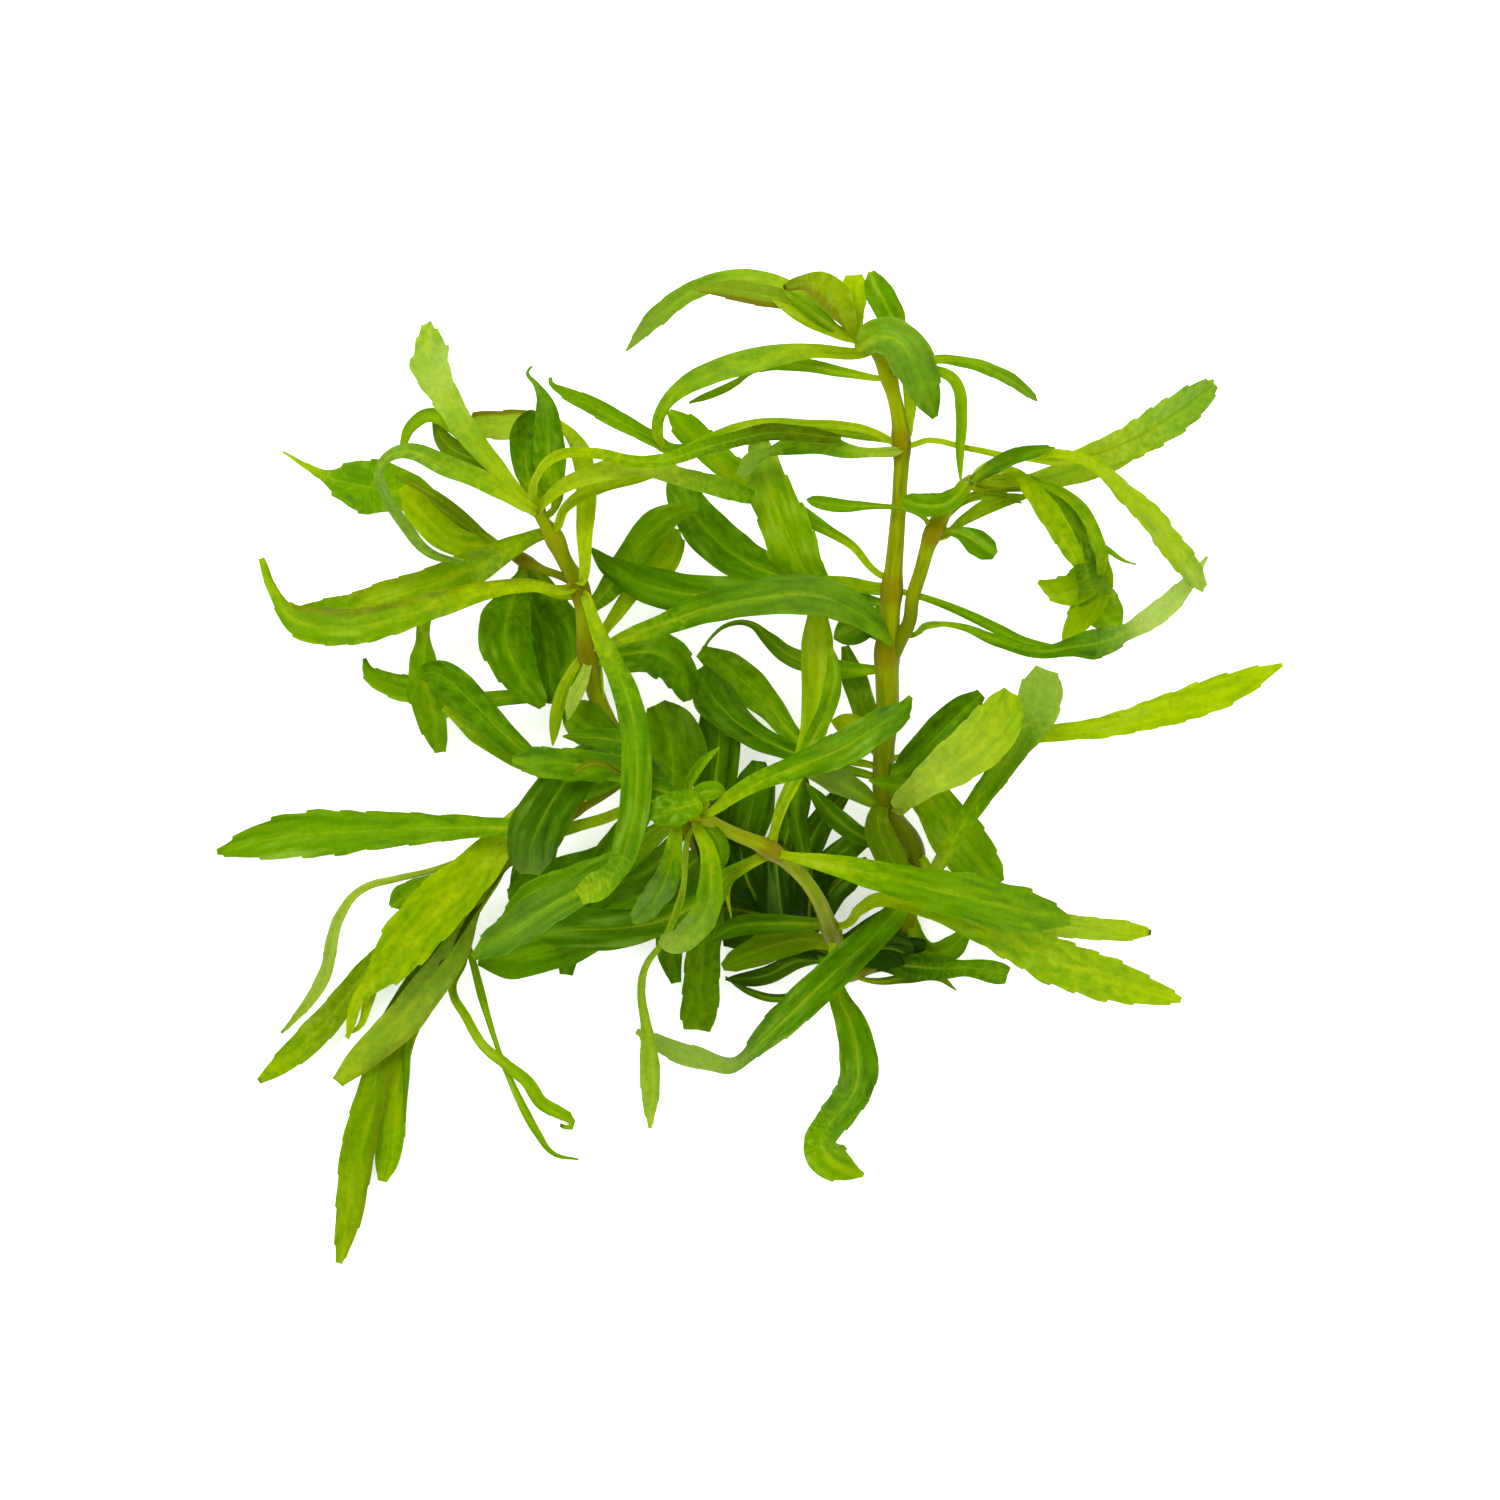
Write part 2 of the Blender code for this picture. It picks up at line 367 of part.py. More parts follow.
def low_left_leaves():
    leaf("leaf_low_left_level", 7.2, FRESH_GREEN,
         [(-14.6, -4.2, 14.4), (-17.6, -5.8, 20.4), (-21, -7.2, 25.8), (-26, -9, 28), (-31, -10.3, 27.4),
          (-38, -9.8, 25), (-45, -9.6, 22), (-55, -10.2, 16), (-65, -10.8, 9.6), (-75, -11.9, 4.6),
          (-85.3, -13.6, 0.8)], lean=(0, 8), stalk=0.2, belly=0.72)
    leaf("leaf_low_left_broad", 8.2, YOUNG_GREEN,
         [(-27.2, -5, 14.6), (-31, -4.8, 16.8), (-35.4, -7.2, 18.4), (-40, -12.2, 19), (-45.4, -17.8, 18.8),
          (-50, -22.6, 17.6), (-55, -28, 15.4), (-59, -33, 13), (-62.6, -37, 10.6), (-64.4, -43.4, 8)],
         lean=(0, 20), stalk=0.3, belly=0.55)
    leaf("leaf_low_left_olive", 6.4, OLIVE_GREEN,
         [(-38.8, -15.4, 11.4), (-42.8, -19.4, 12), (-45, -24, 12), (-46.6, -28.2, 11.6),
          (-52.2, -36.2, 9.2), (-58.2, -43, 7), (-62.6, -47, 5.6), (-66, -50.4, 4)],
         lean=(0, -12), belly=0.6)
    leaf("leaf_low_left_bottom", 6.0, YOUNG_GREEN,
         [(-38.6, -14.6, 9.4), (-42.6, -18.6, 7.8), (-45.6, -24, 6.6), (-48.6, -30, 5), (-53, -36.8, 4),
          (-56, -41, 3.4), (-58.4, -46, 3.4), (-59.6, -52, 3.2), (-61, -58, 3), (-62.8, -66, 2.4),
          (-64, -72, 1.6), (-65.8, -79.4, 0.8)], lean=(0, 8), stalk=0.25, belly=0.72)
    leaf("leaf_low_left_brown_tip", 5.2, YOUNG_GREEN,
         [(-38.2, -12.8, 11), (-45, -18.4, 10.4), (-53, -25.4, 8), (-60.4, -31.6, 5.6), (-65.6, -38, 4.6),
          (-70, -43, 3.4), (-74.6, -47.2, 2), (-78.6, -50.3, 0.6)],
         lean=(0, 12), stalk=0.25, belly=0.68)
    leaf("leaf_low_left_thin_arch", 2.4, OLIVE_GREEN,
         [(-38, -11.8, 12.6), (-44, -14, 13.4), (-51, -16.4, 13.4), (-57, -17.7, 14.2), (-61.4, -19.6, 14),
          (-64.6, -22.6, 12.6), (-66.3, -27, 10), (-67.5, -33, 7), (-70.4, -37.6, 4), (-75, -42.6, 1)],
         lean=(10, -20), stalk=0.5)
    leaf("leaf_low_left_thin_curl", 2.6, FRESH_GREEN,
         [(-39, -15.8, 8), (-43.4, -19.8, 5.2), (-45.2, -25, 3.8), (-45.8, -31, 4.2), (-47.6, -35.6, 4.8),
          (-45.4, -40, 5.2), (-42.8, -44.6, 5), (-39.4, -47.6, 4.6), (-36.4, -49.8, 4), (-34, -53, 3),
          (-30.6, -55.6, 2), (-28.4, -57.2, 1)], lean=(10, 10), stalk=0.5, belly=0.74)
    leaf("leaf_low_left_dark_back", 6.4, DEEP_GREEN,
         [(-5.6, -17.6, 11), (-7.6, -20.8, 16.4), (-10.8, -23.2, 19.6), (-16, -25, 20), (-22, -25.8, 18.6),
          (-28, -26, 16.6), (-34, -26.6, 13)], lean=(0, 0), stalk=0.3, belly=0.68)
    leaf("leaf_low_left_olive_back", 6.6, OLIVE_GREEN,
         [(-8.4, -16, 8.4), (-14, -20.2, 9), (-22, -25, 9), (-28, -28, 8.6), (-34, -30, 7),
          (-39, -31.2, 5), (-44.2, -32.6, 2)], lean=(0, 0), stalk=0.3, belly=0.68)


stems()
left_crown_leaves()
middle_leaves()
right_crown_leaves()
branch_crown_leaves()
centre_leaves()
right_side_leaves()
front_crown_leaves()
foot_leaves()
low_left_leaves()
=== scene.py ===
# Pogostemon quadrifolius, one loose bunch lying on a surface and seen from straight above.
# Every blade is one leaf blank, cut to its own outline and bent along a guide from its stem to its tip.

import math
import random

import bmesh
import bpy
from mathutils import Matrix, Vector


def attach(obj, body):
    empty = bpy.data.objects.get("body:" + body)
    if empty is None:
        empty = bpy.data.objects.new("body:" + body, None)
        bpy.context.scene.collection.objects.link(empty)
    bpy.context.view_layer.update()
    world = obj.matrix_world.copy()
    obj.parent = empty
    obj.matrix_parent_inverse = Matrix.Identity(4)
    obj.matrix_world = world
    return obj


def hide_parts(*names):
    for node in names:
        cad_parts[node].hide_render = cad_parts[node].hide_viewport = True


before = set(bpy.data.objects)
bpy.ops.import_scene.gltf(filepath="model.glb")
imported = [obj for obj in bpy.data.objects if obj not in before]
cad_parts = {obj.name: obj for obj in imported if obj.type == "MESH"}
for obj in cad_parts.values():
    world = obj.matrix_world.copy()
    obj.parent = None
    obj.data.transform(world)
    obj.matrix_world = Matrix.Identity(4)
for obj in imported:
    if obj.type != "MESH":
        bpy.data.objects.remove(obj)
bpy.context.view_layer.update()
print("frame:", len(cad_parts), "solids")

mm = 0.001

bunch = {
    "eyeHeight": 1000.0,         # mm above the surface; routes are read from there
    "shift": (0.0, 0.6, -0.35),  # mm, brings the bunch to the middle and down to the surface
}


def readRows(text):              # "1 2 3, 4 5 6" as rows of numbers
    return [tuple(float(number) for number in row.split()) for row in text.split(",")]


def seenPoint(x, y, z):          # the point at height z that the eye sees at (x, y), in metres
    towardAxis = 1.0 - z / bunch["eyeHeight"]
    return (Vector((x * towardAxis, y * towardAxis, z)) + Vector(bunch["shift"])) * mm


def selectOnly(piece):
    bpy.ops.object.select_all(action="DESELECT")
    piece.select_set(True)
    bpy.context.view_layer.objects.active = piece


def applyAll(piece, angle):      # every modifier, then smooth shading up to the angle in degrees
    selectOnly(piece)
    for modifier in list(piece.modifiers):
        bpy.ops.object.modifier_apply(modifier=modifier.name)
    bpy.ops.object.shade_smooth_by_angle(angle=math.radians(angle))


def addToScene(name, data):
    piece = bpy.data.objects.new(name, data)
    bpy.context.scene.collection.objects.link(piece)
    return piece


def addPointVectors(piece, *names):   # a vector for each point of the mesh, under each name
    for name in names:
        piece.data.attributes.new(name, "FLOAT_VECTOR", "POINT")
    return [piece.data.attributes[name].data for name in names]


def finishPiece(piece, nodes=()):
    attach(piece, "root")
    if nodes:
        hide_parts(*nodes)


# Materials

def feed(tree, socket, value):   # a link, or a plain value
    if isinstance(value, bpy.types.NodeSocket):
        tree.links.new(value, socket)
    else:
        socket.default_value = value


def addNode(tree, kind, inputs=None, **settings):
    node = tree.nodes.new(kind)
    for name, value in settings.items():
        setattr(node, name, value)
    for key, value in (inputs or {}).items():
        feed(tree, node.inputs[key], value)
    return node


def calc(tree, operation, *values, clamp=False):
    inputs = dict(enumerate(values))
    return addNode(tree, "ShaderNodeMath", inputs, operation=operation, use_clamp=clamp).outputs[0]


def paint(tree, share, under, over):   # over is a plain red, green and blue
    inputs = {"Factor": share, "A": under, "B": (*over, 1.0)}
    return addNode(tree, "ShaderNodeMix", inputs, data_type="RGBA", blend_type="MIX").outputs["Result"]


def span(tree, value, low, high, atLow=0.0, atHigh=1.0):   # smooth change between two values
    inputs = {"Value": value, "From Min": low, "From Max": high, "To Min": atLow, "To Max": atHigh}
    return addNode(tree, "ShaderNodeMapRange", inputs, interpolation_type="SMOOTHSTEP").outputs["Result"]


def noiseValue(tree, vector, scale, detail=2.0):
    inputs = {"Vector": vector, "Scale": scale, "Detail": detail}
    return addNode(tree, "ShaderNodeTexNoise", inputs).outputs["Fac"]


def shiftBy(tree, noise, strength, value):   # the value, moved up and down by the noise
    return calc(tree, "MULTIPLY_ADD", calc(tree, "SUBTRACT", noise, 0.5), strength, value)


def meshVector(tree, attribute):
    return addNode(tree, "ShaderNodeAttribute", attribute_name=attribute).outputs["Vector"]


def split(tree, vector):
    return addNode(tree, "ShaderNodeSeparateXYZ", {0: vector}).outputs


def objectPlace(tree):
    return addNode(tree, "ShaderNodeTexCoord").outputs["Object"]


def ramp(tree, value, stops):
    node = addNode(tree, "ShaderNodeValToRGB", {"Fac": value})
    while len(node.color_ramp.elements) < len(stops):
        node.color_ramp.elements.new(0.5)
    for element, (place, colour) in zip(node.color_ramp.elements, stops):
        element.position = place
        element.color = (*colour, 1.0)
    return node.outputs["Color"]


def blankMaterial(name):
    material = bpy.data.materials.new(name)
    material.use_nodes = True
    material.node_tree.nodes.clear()
    return material, material.node_tree


def bumpFrom(tree, height, look):
    inputs = {"Height": height, "Strength": look["bumpStrength"], "Distance": look["bumpDepth"] * mm}
    return addNode(tree, "ShaderNodeBump", inputs).outputs["Normal"]


def waxySurface(tree, colour, roughness, normal, look):
    inputs = {"Base Color": colour, "Roughness": roughness, "Normal": normal,
              "Specular IOR Level": look["specular"], "Specular Tint": look["sheenTint"]}
    return addNode(tree, "ShaderNodeBsdfPrincipled", inputs).outputs[0]


def showSurface(tree, shader):
    addNode(tree, "ShaderNodeOutputMaterial", {"Surface": shader})


# Rows of four numbers are a change: from, to, value at the first, value at the second.
leafLook = {
    # The deepest stop, which tones below zero clamp to, is painted shade for blades that fill dark hollows.
    "stops": [(0.0, (0.008, 0.034, 0.0)), (0.35, (0.075, 0.205, 0.0)),
              (0.65, (0.185, 0.345, 0.0)), (1.0, (0.40, 0.51, 0.0))],   # deep to yellow-green
    "rib": (0.34, 0.46, 0.01),
    "vein": (0.20, 0.34, 0.0),
    "olive": (0.17, 0.17, 0.004),
    "pale": (0.42, 0.54, 0.11),            # what the underside is washed with
    "paintedSheen": (0.30, 0.50, 0.08),           # painted highlight: pale sheen mixed into the green where the blade would glint
    "rust": (0.17, 0.075, 0.004),          # some margins
    "brown": (0.060, 0.022, 0.004),        # dry tips
    "pore": (0.0, 0.01, 0.0),
    "through": (0.40, 0.58, 0.0),          # light that has come through the blade
    "patchScale": 60.0,                    # per metre
    "grainScale": 1100.0,
    "grainDetail": 4.0,
    "streakStretch": (0.055, 0.6, 40.0),   # along, sideways, and from tone to tone
    "streakScale": 1.6,
    "patchShift": 0.38,                    # how far patches and streaks move the green
    "streakShift": 0.8,
    "stalkShift": (0.0, 0.4, 0.25, 0.0),   # by share of the blade
    "middleShift": (0.2, 1.2, 0.10, 0.0),  # by mm from the midrib
    "oliveShare": 0.8,
    # where the painted highlight lies, by patch and by streak noise
    "glossPatch": (0.5, 0.75),
    "glossStreak": (0.48, 0.66),
    "ribWidth": (-0.24, 0.36),             # mm: change from stalk to tip, and width at the stalk
    "ribEdge": (0.3, 1.3, 1.0, 0.0),
    "ribPatch": (0.35, 0.6, 0.2, 0.65),
    "ribFade": (0.3, 1.0, 1.0, 0.5),
    "veinEvery": 2.6,                      # mm along the midrib
    "veinSlant": 1.7,
    "veinWander": 3.6,                     # mm
    "wanderScale": 0.55,
    "veinEdge": (0.0, 0.10, 1.0, 0.0),
    "veinAcross": (0.3, 3.0, 1.0, 0.2),
    "veinStart": (0.15, 0.35),
    "veinShare": 0.16,
    "underPale": (0.3, 0.7, 0.28, 0.42),
    "poreEdge": (0.40, 0.75, 0.0, 0.20),
    "rimPatch": 0.7,                       # how ragged the rusty margin is
    "rimEdge": (0.85, 1.15),
    "rimShare": 0.8,
    "tipPatch": 0.06,
    "tipEdge": (1.005, 1.03),
    "grainHeight": 0.35,
    "veinHeight": 0.35,
    "patchHeight": 1.2,
    "bumpStrength": 0.35,
    "bumpDepth": 0.3,                      # mm
    "roughPatch": (0.35, 0.65),
    "specular": 0.12,
    "sheenTint": (0.7, 1.0, 0.1, 1.0),
    "throughShare": 0.5,                   # of the translucent colour
    "translucence": 0.5,
}
# The first value of each side is how much painted highlight it takes; only the upper side takes any.
leafSides = {
    "upper": {"gloss": 0.4, "ribHeight": -0.35, "rough": (0.22, 0.42)},
    "under": {"gloss": 0.0, "ribHeight": 0.5, "rough": (0.48, 0.62)},
}


def leafGreen(tree, lift, patch, streak, yellow, share, across):
    look = leafLook
    green = calc(tree, "ADD", yellow, lift)
    green = shiftBy(tree, patch, look["patchShift"], green)
    green = shiftBy(tree, streak, look["streakShift"], green)
    green = calc(tree, "ADD", green, span(tree, share, *look["stalkShift"]))
    green = calc(tree, "ADD", green, span(tree, across, *look["middleShift"]), clamp=True)
    return ramp(tree, green, look["stops"])


def leafSkin(name, lift, side):       # lift moves the slot's colour towards yellow
    look = leafLook
    under = side == "under"
    material, tree = blankMaterial(name)
    spot = meshVector(tree, "bladePlace")
    along, sideways, share = split(tree, spot)
    yellow, olive, brown = split(tree, meshVector(tree, "bladeTone"))
    wash, rust, reach = split(tree, meshVector(tree, "bladeWash"))
    across = calc(tree, "ABSOLUTE", sideways)
    where = objectPlace(tree)
    patch = noiseValue(tree, where, look["patchScale"])
    grain = noiseValue(tree, where, look["grainScale"], look["grainDetail"])
    stretched = [calc(tree, "MULTIPLY", value, factor)
                 for value, factor in zip((along, sideways, yellow), look["streakStretch"])]
    stretch = addNode(tree, "ShaderNodeCombineXYZ", dict(enumerate(stretched)))
    streak = noiseValue(tree, stretch.outputs[0], look["streakScale"])      # long stripes beside the midrib; they follow the signed distance from it, so the two halves also differ, partly painted shade of the fold

    colour = leafGreen(tree, lift, patch, streak, yellow, share, across)
    colour = paint(tree, calc(tree, "MULTIPLY", olive, look["oliveShare"]), colour, look["olive"])
    colour = paint(tree, wash, colour, look["pale"])
    # Painted highlight: the pale sheen colour is mixed into the green where both noises are high.
    gloss = calc(tree, "MULTIPLY", span(tree, patch, *look["glossPatch"]),
                 span(tree, streak, *look["glossStreak"]))
    colour = paint(tree, calc(tree, "MULTIPLY", gloss, leafSides[side]["gloss"]), colour, look["paintedSheen"])
    if under:
        colour = paint(tree, span(tree, patch, *look["underPale"]), colour, look["pale"])

    wander = calc(tree, "SUBTRACT", noiseValue(tree, spot, look["wanderScale"]), 0.5)
    wander = calc(tree, "MULTIPLY", wander, look["veinWander"])
    phase = calc(tree, "MULTIPLY_ADD", across, -look["veinSlant"], calc(tree, "ADD", along, wander))
    wave = calc(tree, "PINGPONG", calc(tree, "DIVIDE", phase, look["veinEvery"]), 0.5)
    veins = calc(tree, "MULTIPLY", span(tree, wave, *look["veinEdge"]),
                 span(tree, across, *look["veinAcross"]))
    veins = calc(tree, "MULTIPLY", veins, span(tree, share, *look["veinStart"]))
    colour = paint(tree, calc(tree, "MULTIPLY", veins, look["veinShare"]), colour, look["vein"])

    ribWidth = calc(tree, "MULTIPLY_ADD", share, *look["ribWidth"])
    rib = span(tree, calc(tree, "DIVIDE", across, ribWidth), *look["ribEdge"])
    ribShow = calc(tree, "MULTIPLY", rib, span(tree, patch, *look["ribPatch"]))
    ribShow = calc(tree, "MULTIPLY", ribShow, span(tree, share, *look["ribFade"]))
    colour = paint(tree, ribShow, colour, look["rib"])
    colour = paint(tree, span(tree, grain, *look["poreEdge"]), colour, look["pore"])

    rim = span(tree, calc(tree, "MULTIPLY_ADD", patch, look["rimPatch"], reach), *look["rimEdge"])
    rim = calc(tree, "MULTIPLY", calc(tree, "MULTIPLY", rim, rust), look["rimShare"])
    colour = paint(tree, rim, colour, look["rust"])
    tip = span(tree, calc(tree, "MULTIPLY_ADD", patch, look["tipPatch"], share), *look["tipEdge"])
    colour = paint(tree, calc(tree, "MULTIPLY", tip, brown), colour, look["brown"])

    veinHeight = calc(tree, "MULTIPLY", wave, look["veinHeight"])
    height = calc(tree, "MULTIPLY_ADD", grain, look["grainHeight"], veinHeight)
    height = calc(tree, "MULTIPLY_ADD", patch, look["patchHeight"], height)
    height = calc(tree, "MULTIPLY_ADD", rib, leafSides[side]["ribHeight"], height)
    normal = bumpFrom(tree, height, look)
    roughness = span(tree, patch, *look["roughPatch"], *leafSides[side]["rough"])
    skin = waxySurface(tree, colour, roughness, normal, look)
    warm = paint(tree, look["throughShare"], colour, look["through"])
    glow = addNode(tree, "ShaderNodeBsdfTranslucent", {"Color": warm, "Normal": normal}).outputs[0]
    both = {0: look["translucence"], 1: skin, 2: glow}
    showSurface(tree, addNode(tree, "ShaderNodeMixShader", both).outputs[0])
    return material


stemLook = {
    "stem_olive": ((0.19, 0.215, 0.0), (0.095, 0.145, 0.0)),   # each slot's streaks
    "stem_rust": ((0.12, 0.145, 0.0), (0.075, 0.11, 0.0)),
    "node": (0.120, 0.078, 0.0),
    "young": (0.22, 0.28, 0.0),
    # the foot colour is painted shade: lower stems darkened where they lie under the leaves
    "foot": (0.078, 0.098, 0.0),
    "detail": 3.0,
    "streakScale": 1.1,
    "patchScale": 130.0,                   # per metre
    "grainScale": 1400.0,
    "streakEdge": (0.35, 0.65),
    "youngPatch": (0.42, 0.7, 0.0, 0.45),
    "jointRagged": 0.9,
    "jointEdge": (0.1, 1.0, 0.0, 0.62),
    "youngEnd": (0.8, 1.0, 0.0, 0.7),      # by share of the stem
    "footShadeEnd": (0.15, 0.62, 0.75, 0.0),
    "streakHeight": 0.8,
    "grainHeight": 0.2,
    "bumpStrength": 0.4,
    "bumpDepth": 0.2,                      # mm
    "rough": (0.3, 0.7, 0.34, 0.52),
    "specular": 0.08,
    "sheenTint": (1.0, 0.95, 0.15, 1.0),
}


def stemSkin(slot):
    look = stemLook
    material, tree = blankMaterial(slot + "_skin")
    near, share = split(tree, meshVector(tree, "stemPlace"))[1:]
    where = objectPlace(tree)
    streak = noiseValue(tree, meshVector(tree, "stemOffset"), look["streakScale"], look["detail"])
    patch = noiseValue(tree, where, look["patchScale"], look["detail"])
    grain = noiseValue(tree, where, look["grainScale"], look["detail"])
    light, dark = look[slot]
    colour = paint(tree, span(tree, streak, *look["streakEdge"]), (*light, 1.0), dark)
    colour = paint(tree, span(tree, patch, *look["youngPatch"]), colour, look["young"])
    joint = shiftBy(tree, patch, look["jointRagged"], near)
    colour = paint(tree, span(tree, joint, *look["jointEdge"]), colour, look["node"])
    colour = paint(tree, span(tree, share, *look["youngEnd"]), colour, look["young"])
    # Painted shade: each stem darkens towards its foot, down among the leaves.
    colour = paint(tree, span(tree, share, *look["footShadeEnd"]), colour, look["foot"])
    height = calc(tree, "ADD", calc(tree, "MULTIPLY", streak, look["streakHeight"]),
                  calc(tree, "MULTIPLY", grain, look["grainHeight"]))
    roughness = span(tree, patch, *look["rough"])
    showSurface(tree, waxySurface(tree, colour, roughness, bumpFrom(tree, height, look), look))
    return material


slotLift = {"leaf_fresh": 0.0, "leaf_young": 0.05, "leaf_deep": -0.03, "leaf_olive": 0.0}
skins = {slot: [leafSkin("%s_%s" % (slot, side), lift, side) for side in leafSides]
         for slot, lift in slotLift.items()}
stemSkins = {slot: stemSkin(slot) for slot in ("stem_olive", "stem_rust")}
print("materials made")


# Stems

def smoothGuide(name, points):
    data = bpy.data.curves.new(name, "CURVE")
    data.dimensions = "3D"
    spline = data.splines.new("BEZIER")
    spline.bezier_points.add(len(points) - 1)
    for knot, point in zip(spline.bezier_points, points):
        knot.co = point
        knot.handle_left_type = "AUTO"
        knot.handle_right_type = "AUTO"
    return addToScene(name, data)


stems = {
    "stem_right_main": dict(
        nodes=("stem_right_lower", "stem_right_upper"), slot="stem_olive",
        diameters=(4.2, 3.6, 3.2, 3.5, 3.4, 3.6, 3.8, 3.6, 3.0, 2.5, 2.3, 2.5, 2.2, 2.0, 1.2),
        route="24.5 -30 2.4, 25.4 -18 8, 26.4 -13.4 11, 22 -6.6 15, 21.4 2 19, 22 9 22, 21.9 17 24.5, "
              "22 19.6 25.2, 22.7 28.5 27.5, 23.5 38 29, 24 45 30, 24.2 52 31, 22.6 61 32, 20.5 66 32.5, "
              "18 68.4 32.5",
        joints="22 -6.6 15, 21.9 18.4 25, 22.7 28.5 27.5, 24.2 52 31, 22.1 63 32.2"),
    "stem_right_side_branch": dict(
        nodes=("stem_right_branch",), slot="stem_olive", diameters=(2.4, 2.4, 2.2, 2.2, 2.2, 2.4, 2.0, 1.2),
        route="22.2 16.5 24.6, 24 20.4 26, 25.5 23.4 27, 26 27 28.2, 27.2 31 29.5, 29.5 38 31.5, "
              "34 44.6 33, 35.6 46.2 33.5",
        joints="29.5 38 31.5, 35 45.6 33.3"),
    "stem_left_main": dict(
        nodes=("stem_left",), slot="stem_rust",
        diameters=(3.6, 3.2, 3.0, 2.9, 2.8, 2.9, 2.8, 2.5, 2.6, 1.9, 1.3),
        route="17.5 -32.5 2.2, 6 -25 5, -8 -12 9.5, -18 0 14, -24 10 18, -26 18.5 22, -27.3 28.7 25, "
              "-29.6 33 26.4, -31.3 36.7 28, -33.2 39.6 31, -34.2 41 33.6",
        joints="-8 -12 9.5, -18 0 14, -26 18.5 22, -27.3 28.7 25, -31.3 36.7 28"),
    "stem_left_side_twig": dict(
        nodes=("stem_left_side",), slot="stem_rust", diameters=(1.4, 1.3, 1.3, 1.7, 1.0),
        route="-27.5 29.2 25, -30.2 30.6 24.2, -33 31.6 23.4, -36.5 33.3 22.6, -38.4 34.4 22",
        joints="-36.5 33.3 22.6"),
    "stem_low_left_shoot": dict(
        nodes=("stem_low_left",), slot="stem_rust", diameters=(2.0, 1.8, 1.8, 1.7, 1.6, 1.3),
        route="-17.6 -0.6 13.8, -20 -1.9 13.1, -24 -4.6 12.8, -29 -7.6 12.4, -34 -11.4 12, -37 -14 11.8",
        joints="-29 -7.6 12.4, -36 -13.2 11.8"),
    "stem_front_shoot": dict(
        nodes=("stem_front",), slot="stem_olive", diameters=(3.0, 2.8, 2.5, 2.7, 2.2, 2.5, 2.1, 2.0, 1.2),
        route="19.5 -31.5 4.2, 15 -33 8.6, 14.2 -29.5 14, 13 -26.2 20, 9.2 -18.5 31, 3.1 -13.1 39, "
              "-3 -10.3 44, -8.5 -7.6 48, -11 -6.6 49.5",
        joints="13 -26.2 20, 3.1 -13.1 39, -8.5 -7.6 48"),
}
stemShape = {
    "swelling": 0.32,            # mm, at the joints
    "jointHalf": 1.2,            # mm to each side that are swollen most
    "jointReach": 1.9,
    "steps": 12,                 # of the line, from knot to knot
    "roundness": 5,
    "merge": 0.01,
    "streakStretch": 0.12,       # how slowly the streaks change along a stem
    "smooth": 50,                # degrees
}
stemLines = []                   # points along every stem's middle


def growStem(name, nodes, slot, route, diameters, joints):
    piece = smoothGuide(name, [seenPoint(*spot) for spot in readRows(route)])
    selectOnly(piece)
    bpy.ops.object.convert(target="MESH", keep_original=True)   # the bare line, for its points
    line = bpy.context.view_layer.objects.active
    middle = [corner.co.copy() for corner in line.data.vertices]
    bpy.data.objects.remove(line)
    stemLines.extend(middle)

    for knot, diameter in zip(piece.data.splines[0].bezier_points, diameters):
        knot.radius = diameter / 2.0
    piece.data.resolution_u = stemShape["steps"]
    piece.data.bevel_depth = mm
    piece.data.bevel_resolution = stemShape["roundness"]
    piece.data.use_fill_caps = True
    selectOnly(piece)
    bpy.ops.object.convert(target="MESH")
    bpy.ops.object.mode_set(mode="EDIT")
    bpy.ops.mesh.select_all(action="SELECT")
    bpy.ops.mesh.remove_doubles(threshold=stemShape["merge"] * mm)
    bpy.ops.mesh.normals_make_consistent(inside=False)
    bpy.ops.object.mode_set(mode="OBJECT")

    reach = [0.0]
    for before, after in zip(middle, middle[1:]):
        reach.append(reach[-1] + (after - before).length)
    jointPoints = [seenPoint(*spot) for spot in readRows(joints)]
    corners = piece.data.vertices
    gaps = [min((corner.co - joint).length for joint in jointPoints) / mm for corner in corners]
    past = [max(gap - stemShape["jointHalf"], 0.0) / stemShape["jointReach"] for gap in gaps]
    nears = [math.exp(-(share ** 2)) for share in past]
    ring = piece.vertex_groups.new(name="joint")
    for index, near in enumerate(nears):
        ring.add([index], near ** 2, "REPLACE")
    place, offset = addPointVectors(piece, "stemPlace", "stemOffset")
    for corner, near in zip(corners, nears):
        spot = min(range(len(middle)), key=lambda index: (middle[index] - corner.co).length_squared)
        along = reach[spot] / mm
        place[corner.index].vector = (along, near, reach[spot] / reach[-1])
        drift = Vector((0, 0, along * stemShape["streakStretch"]))
        offset[corner.index].vector = (corner.co - middle[spot]) / mm + drift
    swell = piece.modifiers.new("swelling", "DISPLACE")
    swell.vertex_group = "joint"
    swell.strength = stemShape["swelling"] * mm
    swell.mid_level = 0.0
    applyAll(piece, stemShape["smooth"])
    piece.data.materials.append(stemSkins[slot])
    finishPiece(piece, nodes)


for name, plan in stems.items():
    growStem(name, **plan)
print("stems grown:", len(stems))


# Leaf blanks

